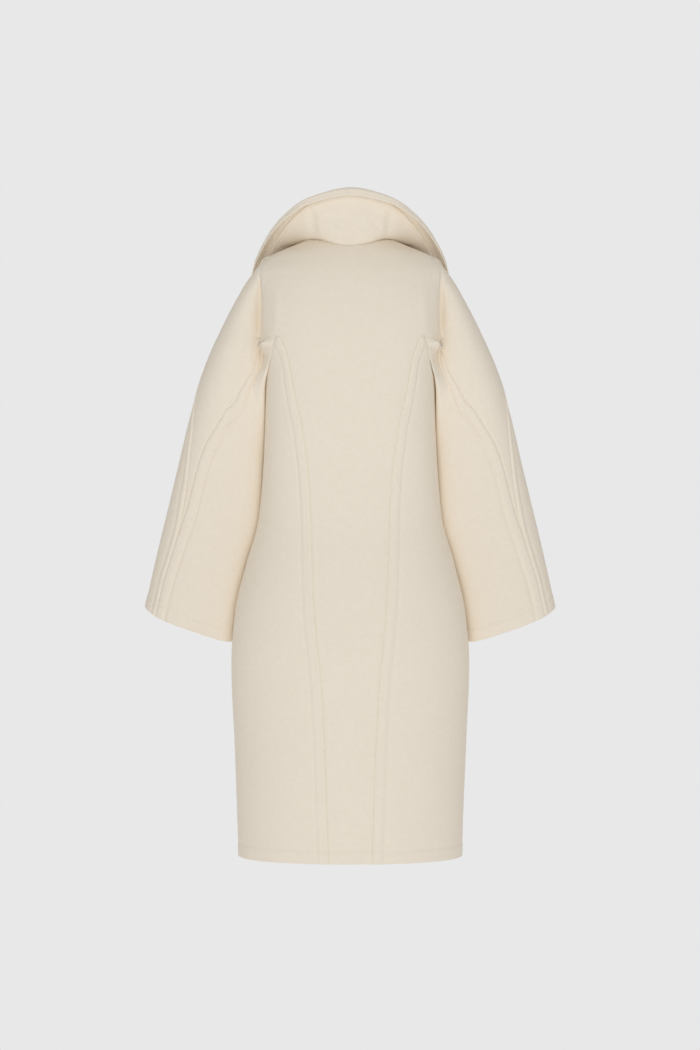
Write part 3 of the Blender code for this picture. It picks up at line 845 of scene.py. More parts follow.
def step_down(d, run):
    return 1.0 / (1.0 + np.exp(d / run))


def seam_relief(cloth, d):
    """Edge of a piece that turns down into its seam."""
    return -cloth.seam_depth * bell(d, cloth.seam_width)


def welt_relief(cloth, d):
    """Turned edge, the allowances' raised strip and the dimpled line of stitching beyond it."""
    strip = step_down(d - cloth.welt_width, WELT_FALL)
    return (seam_relief(cloth, d) + cloth.welt_height * strip
            - cloth.stitch_depth * bell(d - cloth.welt_width, STITCH_DIMPLE))


def sleeve_welt_relief(cloth, d):
    """The same on the sleeve, where the strip is padded and its stitching pulls in deeper."""
    return (welt_relief(cloth, d) * SLEEVE_WELT_LIFT
            - cloth.stitch_depth * bell(d - cloth.welt_width, TIGHT_DIMPLE))


def hem_relief(cloth, d):
    """Turned-up hem with the dimpled line that holds it."""
    d = d - cloth.hem_width
    return cloth.hem_height * step_down(d, HEM_FALL) - cloth.hem_dimple * bell(d, STITCH_DIMPLE)


def overarm_relief(cloth, d):
    """Ridge of the overarm seam with the dimpled line beyond it."""
    return (cloth.ridge_height * bell(d - cloth.ridge_width * RIDGE_CREST, cloth.ridge_width * RIDGE_HALF)
            + seam_relief(cloth, d) - cloth.stitch_depth * bell(d - cloth.ridge_width, STITCH_DIMPLE))


def edge_relief(cloth, d):
    """Line of stitching close to a turned collar edge."""
    return -cloth.stitch_depth * EDGE_SHARE * bell(d - cloth.edge_stitch, EDGE_DIMPLE)


def grid_relief(grid, cloth, first=None, last=None, top=None, bottom=None):
    """Relief of a grid from its four edges; top and bottom are the first and last row.

    The relief of the top edge fades out towards both ends, where the welts run over it."""
    places = np.array([[tuple(point) for point in row] for row in grid])
    relief = np.zeros(places.shape[:2])
    across = np.zeros_like(relief)
    across[:, 1:] = np.cumsum(np.linalg.norm(np.diff(places, axis=1), axis=2), axis=1)
    down = np.zeros_like(relief)
    down[1:] = np.cumsum(np.linalg.norm(np.diff(places, axis=0), axis=2), axis=0)
    far = across[:, -1:] - across
    for shape, distance in ((first, across), (last, far), (bottom, down[-1:] - down)):
        if shape:
            relief += shape(cloth, distance)
    if top:
        inwards = np.clip(np.minimum(across, far) / cloth.welt_width - TOP_FROM, 0.0, 1.0)
        relief *= np.clip(down / TOP_RUN, 0.0, 1.0)
        relief += TOP_SHARE * top(cloth, down) * inwards
    return relief


def crease_relief(places, group):
    """Listed creases laid over the pieces of one group."""
    relief = np.zeros(len(places))
    for x0, z0, x1, z1, width, depth, side, on in CREASES:
        if on != group:
            continue
        start, run = np.array((x0, z0)), np.array((x1 - x0, z1 - z0))
        way = places[:, (0, 2)] - start
        t = np.clip(way @ run / (run @ run), 0.0, 1.0)
        off = np.linalg.norm(way - t[:, None] * run, axis=1)
        fade = np.sin(math.pi * t) ** CREASE_FADE
        relief -= np.where(places[:, 1] * side > 0, depth * bell(off, width) * fade, 0.0)
    return relief


def uneven_relief(places):
    """Slow unevenness that keeps the cloth from looking drawn with a ruler."""
    x, y, z = places.T
    return UNEVENNESS * (np.sin(31 * x + 17 * z + 1.3) + np.sin(23 * z - 27 * y + 0.4)
                         + 0.7 * np.sin(47 * x - 38 * z + 2.1) * np.sin(41 * y + 0.9))


# Walls


def plain_object(name, vertices, faces, material):
    """Mesh object at the origin with one material."""
    mesh = bpy.data.meshes.new(name)
    mesh.from_pydata([tuple(v) for v in vertices], [], faces)
    mesh.shade_smooth()
    mesh.materials.append(material)
    made = bpy.data.objects.new(name, mesh)
    bpy.context.scene.collection.objects.link(made)
    return made


def unit(way):
    return way / max(np.linalg.norm(way), 1e-12)


class Sheet:
    """Open surface of one cut piece with its relief, before it gets its thickness."""

    def __init__(self, name, facing, group):
        self.name = name
        self.facing = Vector(facing)
        self.group = group
        self.places, self.relief, self.faces = [], [], []
        self.found = {}
        self.lines = []

    def vertex(self, point, relief):
        cell = tuple(round(c / WELD_DISTANCE) for c in point)
        for step in NEIGHBOURS:
            near = self.found.get((cell[0] + step[0], cell[1] + step[1], cell[2] + step[2]))
            if near is not None and (point - Vector(self.places[near])).length < WELD_DISTANCE:
                return near
        self.found[cell] = len(self.places)
        self.places.append(tuple(point))
        self.relief.append(relief)
        return self.found[cell]

    def add(self, grid, relief, mirror=False, columns=(), rows=()):
        """Adds a grid of points; the given columns and rows carry a line of stitches."""
        index = []
        for row, heights in zip(grid, relief):
            points = [Vector((-p.x, p.y, p.z)) for p in row] if mirror else row
            index.append([self.vertex(p, h) for p, h in zip(points, heights)])
        for upper, lower in zip(index, index[1:]):
            for k in range(len(upper) - 1):
                corners = []
                for vertex in (upper[k], upper[k + 1], lower[k + 1], lower[k]):
                    if vertex not in corners:
                        corners.append(vertex)
                if len(corners) > 2:
                    self.faces.append(corners[::-1] if mirror else corners)
        self.lines += [[row[k] for row in index] for k in columns] + [index[k] for k in rows]

    def normals(self, places):
        total = np.zeros_like(places)
        for face in self.faces:
            a, b, c, d = (places[face[k]] for k in (0, 1, 2, -1))
            total[face] += np.cross(c - a, d - b)
        if np.sum(total, axis=0) @ np.array(self.facing) < 0:
            total = -total
            self.faces = [face[::-1] for face in self.faces]
        return total / np.maximum(np.linalg.norm(total, axis=1), 1e-12)[:, None]

    def borders(self):
        """Directed edges that only one face has."""
        edges = {edge: None for face in self.faces for edge in zip(face, face[1:] + face[:1])}
        return [(a, b) for a, b in edges if (b, a) not in edges]

    def wall(self, thickness, material):
        """Closed wall with a rounded rim, as an object at the origin."""
        base = np.array(self.places)
        normals = self.normals(base)
        lift = np.array(self.relief) + crease_relief(base, self.group) + uneven_relief(base)
        outer = base + normals * lift[:, None]
        inner = base + normals * (INSIDE_LIFT * lift - thickness)[:, None]
        self.outer = outer
        count = len(base)
        vertices = [tuple(p) for p in outer] + [tuple(p) for p in inner]
        faces = [tuple(face) for face in self.faces]
        faces += [tuple(v + count for v in reversed(face)) for face in self.faces]
        rim = {}
        borders = self.borders()
        for a, b in borders:
            away = unit(np.cross(base[b] - base[a], normals[a]))
            for v in (a, b):
                rim.setdefault(v, []).append(away)
        for v, ways in rim.items():
            way = unit(np.sum(ways, axis=0))
            rim[v] = len(vertices)
            vertices.append(tuple((outer[v] + inner[v]) / 2 + way * thickness * RIM_ROUND))
        for a, b in borders:
            faces.append((b, a, rim[a], rim[b]))
            faces.append((rim[b], rim[a], a + count, b + count))
        return plain_object(self.name, vertices, faces, material)


@functools.lru_cache(maxsize=None)
def coat_sheets():
    """All cut pieces of cloth by name."""
    cloth = bpy.context.scene.coat_cloth
    sheets = {}

    def sheet(name, facing, group):
        sheets[name] = Sheet(name, facing, group)
        return sheets[name]

    def lay(piece, grid, mirror, columns=(), rows=(), **edges):
        piece.add(grid, grid_relief(grid, cloth, **edges), mirror, columns, rows)

    upper, lower, sleeve = upper_back()[::-1], lower_back(), back_wing()
    back = sheet("cloth_back", (0, 1, 0), "back")
    for mirror in (False, True):
        lay(back, lower, mirror, rows=HEM_LINE, last=seam_relief, bottom=hem_relief)
        lay(back, sleeve, mirror, first=seam_relief, last=seam_relief)
        lay(back, upper, mirror)
    sleeve = front_wing()
    for side, mirror in (("left", False), ("right", True)):
        front = sheet(f"cloth_front_{side}", (0, -1, 0), "front")
        lay(front, lower_front(not mirror), mirror, rows=HEM_LINE, last=seam_relief, bottom=hem_relief)
        lay(front, sleeve, mirror, rows=HEM_LINE, first=seam_relief, last=overarm_relief, bottom=hem_relief)
        lay(front, upper_front(not mirror)[::-1], mirror)
    panel, under = side_panel(), under_sleeve()
    for side, mirror, out in (("left", False, 1), ("right", True, -1)):
        for name, grid, welt, facing, group in (
                ("side", panel, welt_relief, out, "side"),
                ("under_sleeve", under, sleeve_welt_relief, -out, "sleeve")):
            piece = sheet(f"cloth_{name}_{side}", (facing, 0, 0), group)
            lay(piece, grid, mirror, WELT_LINES, HEM_LINE, first=welt, last=welt, top=seam_relief,
                bottom=hem_relief)
    lengths = neck_stations()[1]
    gorge = min(range(len(lengths)), key=lambda k: abs(lengths[k] - GORGE_LENGTH))
    near = under_collar_grid([k / COLLAR_COLUMNS for k in range(COLLAR_COLUMNS + 1)])
    for grid, collar, lapel, facing in ((near, "cloth_under_collar", "cloth_lapel", 1),
                                        (upper_collar_grid(), "cloth_upper_collar", "cloth_facing", -1)):
        piece = sheet(collar, (0, facing, 0), "collar" if facing > 0 else "roll")
        for mirror in (False, True):
            lay(piece, grid[:gorge + 1], mirror, bottom=seam_relief, last=edge_relief)
            part = grid[gorge:]
            end = sheet(f"{lapel}_{'right' if mirror else 'left'}", (0, facing, 0), "lapel")
            relief = grid_relief(part[::-1], cloth, bottom=seam_relief, last=edge_relief)[::-1]
            end.add(part, relief, mirror)
    return sheets


# Materials


def linear(code):
    """Linear colour of an sRGB hex code."""
    parts = [int(code[k:k + 2], 16) / 255 for k in (1, 3, 5)]
    return tuple(c / 12.92 if c <= 0.04045 else ((c + 0.055) / 1.055) ** 2.4 for c in parts) + (1.0,)


def add_node(tree, kind, inputs=(), **settings):
    """Adds a node; inputs gives a socket its value or the output that feeds it."""
    node = tree.nodes.new(kind)
    for name, value in settings.items():
        setattr(node, name, value)
    for socket, value in dict(inputs).items():
        if isinstance(value, bpy.types.NodeSocket):
            tree.links.new(value, node.inputs[socket])
        else:
            node.inputs[socket].default_value = value
    return node


def new_material(name):
    material = bpy.data.materials.new(name)
    material.use_nodes = True
    material.node_tree.nodes.clear()
    return material, material.node_tree


def object_place(tree):
    return add_node(tree, "ShaderNodeTexCoord").outputs["Object"]


def noise(tree, place, size, detail, **more):
    """Noise whose spots are about size across."""
    values = {"Vector": place, "Scale": 1 / size, "Detail": detail, **more}
    return add_node(tree, "ShaderNodeTexNoise", values).outputs["Fac"]


def two_tones(tree, share, dark, light):
    blend = add_node(tree, "ShaderNodeMix", {"Factor": share}, data_type="RGBA")
    blend.inputs["A"].default_value = dark
    blend.inputs["B"].default_value = light
    return blend.outputs["Result"]


def principled(tree, values):
    """Surface of a material with the given values."""
    shader = add_node(tree, "ShaderNodeBsdfPrincipled", values)
    add_node(tree, "ShaderNodeOutputMaterial", {"Surface": shader.outputs["BSDF"]})


@functools.lru_cache(maxsize=None)
def felted_wool():
    """Felted wool, milled and brushed: matte, with a short nap that lifts the edges a little,
    faint mottling where the fibres lie closer, and no weave to be seen."""
    cloth = bpy.context.scene.coat_cloth
    material, tree = new_material("felted_wool")
    place = object_place(tree)
    # Mottling about 7 mm across and fibre tufts about 2 mm, drawn coarser than real to show
    mottle = noise(tree, place, 0.007, 2.0)
    fibre = noise(tree, place, 0.002, 4.0, Roughness=0.65)
    both = add_node(tree, "ShaderNodeMath", {0: mottle, 1: fibre}, operation="ADD").outputs[0]
    share = add_node(tree, "ShaderNodeMapRange", {"Value": both, "From Min": 0.7, "From Max": 1.3})
    bump = add_node(tree, "ShaderNodeBump", {"Height": fibre, "Strength": 0.35, "Distance": 0.0006})
    principled(tree, {
        "Base Color": two_tones(tree, share.outputs["Result"], cloth.wool_shade, cloth.wool_colour),
        "Normal": bump.outputs["Normal"], "Roughness": 0.95, "IOR": 1.45, "Specular IOR Level": 0.15,
        "Sheen Weight": 0.12, "Sheen Roughness": 0.5, "Sheen Tint": linear("#F2E6D2")})
    return material


@functools.lru_cache(maxsize=None)
def sewing_thread():
    """Polyester core-spun thread, a shade warmer than the cloth, with a low soft gloss."""
    material, tree = new_material("sewing_thread")
    # Plies of about 0.6 mm
    ply = noise(tree, object_place(tree), 0.0006, 2.0)
    tone = two_tones(tree, ply, linear("#EDE5D6"), linear("#F6F0E4"))
    principled(tree, {"Base Color": tone, "Roughness": 0.6, "IOR": 1.5, "Sheen Weight": 0.1})
    return material


@functools.lru_cache(maxsize=None)
def satin_plastic():
    """Cast cream plastic, turned and tumbled to a satin, with fine streaks stirred in."""
    material, tree = new_material("satin_plastic")
    # Streaks about 0.9 mm apart and 6 mm long
    stretch = add_node(tree, "ShaderNodeMapping", {"Vector": object_place(tree),
                                                   "Scale": (1 / 0.0009, 1.0, 1 / 0.006)})
    streak = noise(tree, stretch.outputs["Vector"], 1.0, 3.0)
    tone = two_tones(tree, streak, linear("#C9B594"), linear("#E3D6BE"))
    principled(tree, {"Base Color": tone, "Roughness": 0.35, "IOR": 1.53})
    return material


@functools.lru_cache(maxsize=None)
def paper_sweep():
    """Pale seamless studio paper, lit from all round so that it shows one even tone.

    It has only its lit face, so that the coat can also be looked at from behind the paper."""
    stage = bpy.context.scene.coat_stage
    material, tree = new_material("paper_sweep")
    glow = add_node(tree, "ShaderNodeEmission", {"Color": stage.paper_colour, "Strength": 1.0})
    behind = add_node(tree, "ShaderNodeNewGeometry").outputs["Backfacing"]
    clear = add_node(tree, "ShaderNodeBsdfTransparent")
    lit = add_node(tree, "ShaderNodeMixShader", {0: behind, 1: glow.outputs["Emission"],
                                                 2: clear.outputs["BSDF"]})
    add_node(tree, "ShaderNodeOutputMaterial", {"Surface": lit.outputs["Shader"]})
    return material


# Settings


def metres(name, description, default):
    return FloatProperty(name=name, description=description, default=default, unit="LENGTH")


def watts(name, description, default):
    return FloatProperty(name=name, description=description, default=default, unit="POWER")


def tone(name, description, code):
    return FloatVectorProperty(name=name, description=description, size=4, default=linear(code),
                               subtype="COLOR", min=0.0, max=1.0)


class CoatCloth(PropertyGroup):
    """Sizes and colours of the cloth and its seams."""

    wall: metres("Cloth thickness", "Thickness of the wool cloth", 0.0025)
    seam_depth: metres("Seam depth", "How far an edge turns down into its seam", 0.0014)
    seam_width: metres("Seam width", "Width of the turn into a seam", 0.0017)
    welt_width: metres("Welt width", "Distance of the stitching from the seam", 0.018)
    welt_height: metres("Welt height", "How far the seam allowances lift the cloth", 0.0013)
    stitch_depth: metres("Stitch dimple", "Depth of a line of stitching", 0.0012)
    ridge_width: metres("Ridge width", "Width of the overarm seam's ridge", 0.011)
    ridge_height: metres("Ridge height", "Height of the overarm seam's ridge", 0.0014)
    hem_width: metres("Hem width", "Depth of the turned-up hem and cuffs", 0.021)
    hem_height: metres("Hem height", "How far the turned-up hem lifts the cloth", 0.0005)
    hem_dimple: metres("Hem dimple", "Depth of the line that holds the hem", 0.0007)
    edge_stitch: metres("Edge stitching", "Distance of the collar's edge stitching", 0.005)
    wool_colour: tone("Wool", "Lighter tone of the wool", "#F7EDDD")
    wool_shade: tone("Wool shade", "Darker tone of the wool", "#F4E9D8")


class CoatSewing(PropertyGroup):
    """Sizes of the stitches."""

    length: metres("Stitch length", "Length of thread that shows in a stitch", 0.0032)
    pitch: metres("Stitch pitch", "Distance from stitch to stitch", 0.0046)
    radius: metres("Thread radius", "Half the thread's thickness", 0.00026)
    hole_middle: metres("Buttonhole middle", "Middle of a buttonhole across the coat", -0.0135)
    hole_length: metres("Buttonhole length", "Length of a worked buttonhole", 0.031)
    hole_half: metres("Buttonhole half height", "Half the height of a buttonhole", 0.0011)
    hole_pitch: metres("Buttonhole pitch", "Distance from stitch to stitch round it", 0.0010)
    hole_stitch: metres("Buttonhole stitch", "Length of a stitch round a buttonhole", 0.0016)
    hole_radius: metres("Buttonhole thread", "Half the thickness of its corded edge", 0.0005)


class CoatButtons(PropertyGroup):
    """Sizes of the buttons."""

    rim: metres("Rim width", "Width of the raised rim", 0.0026)
    dish: metres("Dish depth", "Depth of the dished middle", 0.0008)
    hole: metres("Hole radius", "Radius of a thread hole", 0.0010)
    spread: metres("Hole spread", "Distance of the holes from the middle", 0.0027)
    thread: metres("Button thread", "Half the thickness of a bar of button thread", 0.0005)
    sides: IntProperty(name="Sides", description="Points round the button", default=72, min=12)
    rings: IntProperty(name="Rings", description="Rings of points on the button's face", default=45, min=8)


class CoatStage(PropertyGroup):
    """Camera, light and paper."""

    distance: metres("Camera distance", "Distance of the camera from the coat", 4.3)
    height: metres("Camera height", "Height of the level camera", -0.4772)
    view_height: metres("Height in view", "Height that the picture shows", 1.7325)
    floor: metres("Floor height", "Height of the paper floor", -1.55)
    paper_colour: tone("Paper", "Tone of the paper", "#E8E8E8")
    key_power: watts("Key light", "Power of the large soft light", 52.0)
    top_power: watts("Top", "Power of the soft light above the coat", 10.0)
    surround: FloatProperty(name="Surround", description="Brightness of the room", default=0.35)


# Operators


class ClothOperator:
    """Turns sheets into their walls, in place of their solids.

    Pieces lists node, flat size, area and the piece it hangs from; a name that ends in _ is made
    for both sides."""

    pieces = ()

    def execute(self, context):
        for node, flat, area, hangs_from in self.pieces:
            for side in ("left", "right") if node.endswith("_") else ("",):
                self.finish(context, node + side)
        return {"FINISHED"}

    def finish(self, context, node):
        made = coat_sheets()[f"cloth_{node}"].wall(context.scene.coat_cloth.wall, felted_wool())
        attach(made, "root")
        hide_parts(node)


class COAT_OT_back(ClothOperator, Operator):
    """Back, in one with the backs of both upper sleeves"""

    bl_idname = "coat.back"
    bl_label = "Back"
    pieces = (("back", (0.62, 1.03), 0.228, "under_collar"),)


class COAT_OT_fronts(ClothOperator, Operator):
    """Both fronts, each in one with the top of its sleeve"""

    bl_idname = "coat.fronts"
    bl_label = "Fronts"
    pieces = (("front_", (0.40, 1.04), 0.190, "back"),)


class COAT_OT_side_panels(ClothOperator, Operator):
    """Side panels of the body"""

    bl_idname = "coat.side_panels"
    bl_label = "Side panels"
    pieces = (("side_", (0.36, 0.85), 0.272, "back"),)


class COAT_OT_under_sleeves(ClothOperator, Operator):
    """Under sides of the sleeves"""

    bl_idname = "coat.under_sleeves"
    bl_label = "Under sleeves"
    pieces = (("under_sleeve_", (0.29, 0.50), 0.136, "front_"),)


class COAT_OT_under_collar(ClothOperator, Operator):
    """Under collar with both lapels"""

    bl_idname = "coat.under_collar"
    bl_label = "Under collar"
    pieces = (("under_collar", (0.36, 0.11), 0.0304, "back"),
              ("lapel_", (0.13, 0.25), 0.0228, "front_"))


class COAT_OT_upper_collar(ClothOperator, Operator):
    """Upper collar with both facings, rolled out over the under collar"""

    bl_idname = "coat.upper_collar"
    bl_label = "Upper collar"
    pieces = (("upper_collar", (0.42, 0.14), 0.0427, "under_collar"),
              ("facing_", (0.15, 0.28), 0.0287, "lapel_"))


def stitch_tree():
    """Geometry nodes that lay stitches along the edges of a mesh line, and their inputs by name."""
    tree = bpy.data.node_groups.new("stitches", "GeometryNodeTree")
    tree.interface.new_socket("Line", in_out="INPUT", socket_type="NodeSocketGeometry")
    inputs = {}
    for name in ("Pitch", "Length", "Radius"):
        socket = tree.interface.new_socket(name, in_out="INPUT", socket_type="NodeSocketFloat")
        inputs[name] = socket.identifier
    tree.interface.new_socket("Stitches", in_out="OUTPUT", socket_type="NodeSocketGeometry")
    given = add_node(tree, "NodeGroupInput").outputs
    curve = add_node(tree, "GeometryNodeMeshToCurve", {"Mesh": given["Line"]})
    spaced = add_node(tree, "GeometryNodeResampleCurve", {"Curve": curve.outputs["Curve"],
                                                          "Length": given["Pitch"]}, mode="LENGTH")
    bead = add_node(tree, "GeometryNodeMeshUVSphere", {"Segments": 6, "Rings": 5, "Radius": 1.0})
    way = add_node(tree, "GeometryNodeInputTangent")
    turn = add_node(tree, "FunctionNodeAlignRotationToVector", {"Vector": way.outputs["Tangent"]}, axis="Z")
    half = add_node(tree, "ShaderNodeMath", {0: given["Length"], 1: 0.5}, operation="MULTIPLY")
    size = add_node(tree, "ShaderNodeCombineXYZ", {"X": given["Radius"], "Y": given["Radius"],
                                                   "Z": half.outputs[0]})
    laid = add_node(tree, "GeometryNodeInstanceOnPoints", {
        "Points": spaced.outputs["Curve"], "Instance": bead.outputs["Mesh"],
        "Rotation": turn.outputs["Rotation"], "Scale": size.outputs["Vector"]})
    real = add_node(tree, "GeometryNodeRealizeInstances", {"Geometry": laid.outputs["Instances"]})
    thread = add_node(tree, "GeometryNodeSetMaterial", {"Geometry": real.outputs["Geometry"],
                                                        "Material": sewing_thread()})
    add_node(tree, "NodeGroupOutput", {"Stitches": thread.outputs["Geometry"]})
    return tree, inputs


def sew(context, name, lines, sizes):
    """Lays stitches along lines of points, as one plain mesh."""
    tree, inputs = stitch_tree()
    vertices, edges = [], []
    for line in lines:
        first = len(vertices)
        vertices += line
        edges += [(k, k + 1) for k in range(first, len(vertices) - 1)]
    mesh = bpy.data.meshes.new(f"{name}_lines")
    mesh.from_pydata(vertices, edges, [])
    holder = bpy.data.objects.new(name, mesh)
    context.scene.collection.objects.link(holder)
    layer = holder.modifiers.new("stitches", "NODES")
    layer.node_group = tree
    for size, value in sizes.items():
        layer[inputs[size]] = value
    context.view_layer.update()
    made = bpy.data.meshes.new_from_object(holder.evaluated_get(context.evaluated_depsgraph_get()))
    holder.modifiers.remove(layer)
    holder.data = made
    made.shade_smooth()
    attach(holder, "root")


# Points round a buttonhole, and how square its ends are
HOLE_POINTS = 80
HOLE_SQUARE = 0.4


def buttonhole(sewing, z):
    """Closed line round a buttonhole of the right front, on its cloth."""
    outline = []
    reach = sewing.hole_length / 2
    for k in range(HOLE_POINTS + 1):
        turn = 2 * math.pi * k / HOLE_POINTS
        c = math.cos(turn)
        x = sewing.hole_middle + reach * math.copysign(abs(c) ** HOLE_SQUARE, c)
        height = z + sewing.hole_half * math.sin(turn)
        place = front_point(abs(x), height, False)
        at = np.array([(x, place.y, height)])
        lift = float(crease_relief(at, "front")[0] + uneven_relief(at)[0])
        outline.append((x, place.y - lift - sewing.hole_radius / 3, height))
    return outline


class COAT_OT_stitching(Operator):
    """Stitches along the welts, hem and cuffs, and the worked buttonholes"""

    bl_idname = "coat.stitching"
    bl_label = "Stitching"

    def execute(self, context):
        sewing = context.scene.coat_sewing
        lines = [[tuple(sheet.outer[v]) for v in line]
                 for sheet in coat_sheets().values() for line in sheet.lines]
        sew(context, "stitching", lines, {"Pitch": sewing.pitch, "Length": sewing.length,
                                          "Radius": sewing.radius})
        holes = [buttonhole(sewing, button_frame(node)[0].z) for node in BUTTONS]
        sew(context, "buttonholes", holes, {"Pitch": sewing.hole_pitch, "Length": sewing.hole_stitch,
                                            "Radius": sewing.hole_radius})
        return {"FINISHED"}


def button_frame(node):
    """Middle of a button's back, its axis away from the coat, and two ways across it."""
    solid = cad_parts[node]
    places = np.array([tuple(solid.matrix_world @ v.co) for v in solid.data.vertices])
    middle = (places.min(axis=0) + places.max(axis=0)) / 2
    axis = Vector(np.linalg.svd(places - middle, full_matrices=False)[2][-1])
    if axis.y > 0:
        axis = -axis
    across = Vector((0.0, 0.0, 1.0)).cross(axis).normalized()
    heights = (places - middle) @ np.array(axis)
    back = Vector(middle) + axis * float(heights.min())
    radius = float(np.max(np.abs((places - middle) @ np.array(across))))
    return back, axis, across, axis.cross(across), radius, float(np.ptp(heights))


# Depth of a thread hole as a share of the thickness, and its sloping wall as a share of its radius
HOLE_DEPTH = 0.7
HOLE_BEVEL = 0.4
# Height of the lower and the upper bar of button thread, in thread radii
BAR_RISES = {1: 1.8, -1: 3.2}


def button_height(sizes, x, y, radius, thickness):
    """Height of the button's face: a rounded rim, a dished middle and four holes."""
    r = math.hypot(x, y)
    height = thickness - sizes.dish * ease(ramp(radius - sizes.rim - r, sizes.rim))
    turned = max(r - (radius - sizes.rim / 2), 0.0) / (sizes.rim / 2)
    height -= 0.5 * thickness * (1 - math.sqrt(max(1 - turned * turned, 0.0)))
    reach = sizes.spread * math.sqrt(0.5)
    for u in (-1, 1):
        for v in (-1, 1):
            gap = math.hypot(x - u * reach, y - v * reach)
            height -= HOLE_DEPTH * thickness * ramp(sizes.hole - gap, HOLE_BEVEL * sizes.hole)
    return height


def thread_bar(start, end, rise, radius, sides=8, steps=10):
    """Vertices and faces of a bar of thread that arches from hole to hole."""
    vertices, faces = [], []
    along_bar = (end - start).normalized()
    flat = along_bar.cross(rise).normalized()
    up = flat.cross(along_bar)
    for k in range(steps + 1):
        t = k / steps
        middle = mix(start, end, t) + rise * math.sin(math.pi * t) ** 0.5
        for j in range(sides):
            turn = 2 * math.pi * j / sides
            vertices.append(middle + flat * radius * math.cos(turn) + up * radius * math.sin(turn))
    for k in range(steps):
        for j in range(sides):
            n = (j + 1) % sides
            faces.append((k * sides + j, k * sides + n, (k + 1) * sides + n, (k + 1) * sides + j))
    faces.append(tuple(range(sides))[::-1])
    faces.append(tuple(range(steps * sides, (steps + 1) * sides)))
    return vertices, faces


class COAT_OT_buttons(Operator):
    """Dished four-hole buttons, sewn on with crossed thread"""

    bl_idname = "coat.buttons"
    bl_label = "Buttons"

    def execute(self, context):
        sizes = context.scene.coat_buttons
        for node in BUTTONS:
            back, axis, across, up, radius, thickness = button_frame(node)
            vertices, faces = [back + axis * button_height(sizes, 0.0, 0.0, radius, thickness)], []
            for ring in range(1, sizes.rings + 1):
                r = radius * ring / sizes.rings
                for k in range(sizes.sides):
                    turn = 2 * math.pi * k / sizes.sides
                    x, y = r * math.cos(turn), r * math.sin(turn)
                    height = button_height(sizes, x, y, radius, thickness)
                    vertices.append(back + across * x + up * y + axis * height)
            rim = len(vertices) - sizes.sides
            vertices += [v - axis * 0.5 * thickness for v in vertices[rim:]]
            vertices.append(back)
            for k in range(sizes.sides):
                n = (k + 1) % sizes.sides
                faces.append((0, 1 + k, 1 + n))
                for ring in range(sizes.rings):
                    a = 1 + ring * sizes.sides
                    faces.append((a + k, a + sizes.sides + k, a + sizes.sides + n, a + n))
                faces.append((len(vertices) - 1, rim + sizes.sides + n, rim + sizes.sides + k))
            made = plain_object(f"{node}_face", vertices, faces, satin_plastic())
            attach(made, "root")
            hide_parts(node)
            bars, closed = [], []
            low = back + axis * (thickness - sizes.dish - sizes.thread)
            for u in (-1, 1):
                corner = (across * u + up) * sizes.spread * math.sqrt(0.5)
                lift = axis * sizes.thread * BAR_RISES[u]
                points, rounds = thread_bar(low - corner, low + corner, lift, sizes.thread)
                closed += [tuple(v + len(bars) for v in face) for face in rounds]
                bars += points
            made = plain_object(f"{node}_thread", bars, closed, sewing_thread())
            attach(made, "root")
        return {"FINISHED"}


# Paper: how far it reaches, where and with what radius it bends up, its top and the bend's steps
PAPER_REACH = 6.0
PAPER_BEND_Y = -1.6
PAPER_BEND = 0.9
PAPER_TOP = 3.0
PAPER_STEPS = 12
# The camera stands a little off the middle line
CAMERA_X = 0.0005
# Point that both lamps face
LAMP_AIM = Vector((0.0, 0.0, -0.35))


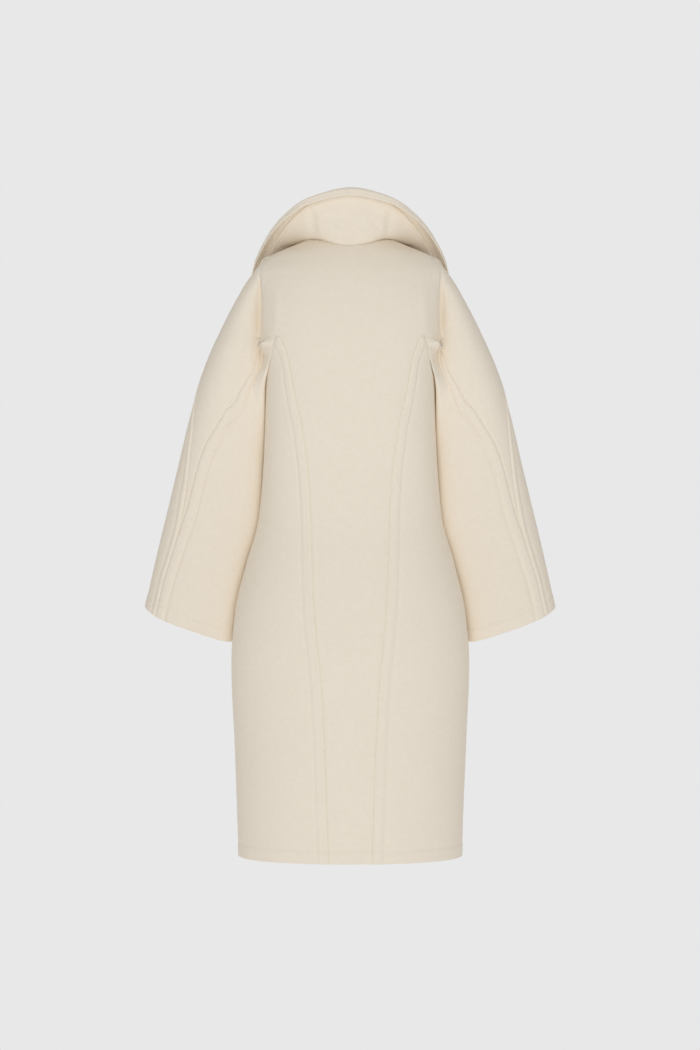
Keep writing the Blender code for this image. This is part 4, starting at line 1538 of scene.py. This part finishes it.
class COAT_OT_stage(Operator):
    """Camera, soft light and pale paper sweep"""

    bl_idname = "coat.stage"
    bl_label = "Studio"

    def execute(self, context):
        stage = context.scene.coat_stage
        profile = [(PAPER_REACH, stage.floor), (PAPER_BEND_Y, stage.floor)]
        for k in range(1, PAPER_STEPS + 1):
            turn = math.radians(90 * k / PAPER_STEPS)
            profile.append((PAPER_BEND_Y - PAPER_BEND * math.sin(turn),
                            stage.floor + PAPER_BEND * (1 - math.cos(turn))))
        profile.append((PAPER_BEND_Y - PAPER_BEND, PAPER_TOP))
        vertices = [(x, y, z) for y, z in profile for x in (-PAPER_REACH, PAPER_REACH)]
        faces = [(2 * k + 2, 2 * k + 3, 2 * k + 1, 2 * k) for k in range(len(profile) - 1)]
        plain_object("paper", vertices, faces, paper_sweep())

        for name, place, size, power in (
                ("key", (0.0, 4.0, 0.0), (3.2, 2.4), stage.key_power),
                ("top", (0.0, 0.9, 2.4), (2.4, 1.6), stage.top_power)):
            soft = bpy.data.lights.new(name, "AREA")
            soft.shape = "RECTANGLE"
            soft.size, soft.size_y = size
            soft.energy = power
            lamp = bpy.data.objects.new(name, soft)
            lamp.location = place
            lamp.visible_camera = False
            lamp.rotation_euler = (LAMP_AIM - lamp.location).to_track_quat("-Z", "Y").to_euler()
            context.scene.collection.objects.link(lamp)

        world = bpy.data.worlds.new("studio")
        world.use_nodes = True
        world.node_tree.nodes.clear()
        glow = add_node(world.node_tree, "ShaderNodeBackground", {"Color": linear("#FFFFFF"),
                                                                  "Strength": stage.surround})
        add_node(world.node_tree, "ShaderNodeOutputWorld", {"Surface": glow.outputs["Background"]})
        context.scene.world = world

        lens = bpy.data.cameras.new("camera")
        lens.sensor_fit = "VERTICAL"
        lens.sensor_height = 36.0
        lens.lens = lens.sensor_height * stage.distance / stage.view_height
        camera = bpy.data.objects.new("camera", lens)
        camera.location = (CAMERA_X, stage.distance, stage.height)
        camera.rotation_euler = (math.radians(90), 0.0, math.radians(180))
        context.scene.collection.objects.link(camera)
        context.scene.camera = camera
        context.scene.view_settings.view_transform = "Standard"
        return {"FINISHED"}


class COAT_PT_panel(Panel):
    """Pieces of the coat in the order in which they are made"""

    bl_label = "Coat"
    bl_space_type = "VIEW_3D"
    bl_region_type = "UI"
    bl_category = "Coat"

    def draw(self, context):
        for operator in OPERATORS:
            self.layout.operator(operator.bl_idname)


SETTINGS = (("coat_cloth", CoatCloth), ("coat_sewing", CoatSewing), ("coat_buttons", CoatButtons),
            ("coat_stage", CoatStage))
OPERATORS = (COAT_OT_back, COAT_OT_fronts, COAT_OT_side_panels, COAT_OT_under_sleeves,
             COAT_OT_under_collar, COAT_OT_upper_collar, COAT_OT_stitching, COAT_OT_buttons, COAT_OT_stage)


def register():
    for name, group in SETTINGS:
        bpy.utils.register_class(group)
        setattr(bpy.types.Scene, name, PointerProperty(type=group))
    for operator in OPERATORS:
        bpy.utils.register_class(operator)
    bpy.utils.register_class(COAT_PT_panel)


def unregister():
    bpy.utils.unregister_class(COAT_PT_panel)
    for operator in reversed(OPERATORS):
        bpy.utils.unregister_class(operator)
    for name, group in reversed(SETTINGS):
        delattr(bpy.types.Scene, name)
        bpy.utils.unregister_class(group)


def main():
    register()
    bpy.ops.coat.back()
    bpy.ops.coat.fronts()
    bpy.ops.coat.side_panels()
    bpy.ops.coat.under_sleeves()
    bpy.ops.coat.under_collar()
    bpy.ops.coat.upper_collar()
    bpy.ops.coat.stitching()
    bpy.ops.coat.buttons()
    bpy.ops.coat.stage()
    bpy.context.view_layer.update()


if __name__ == "__main__":
    main()
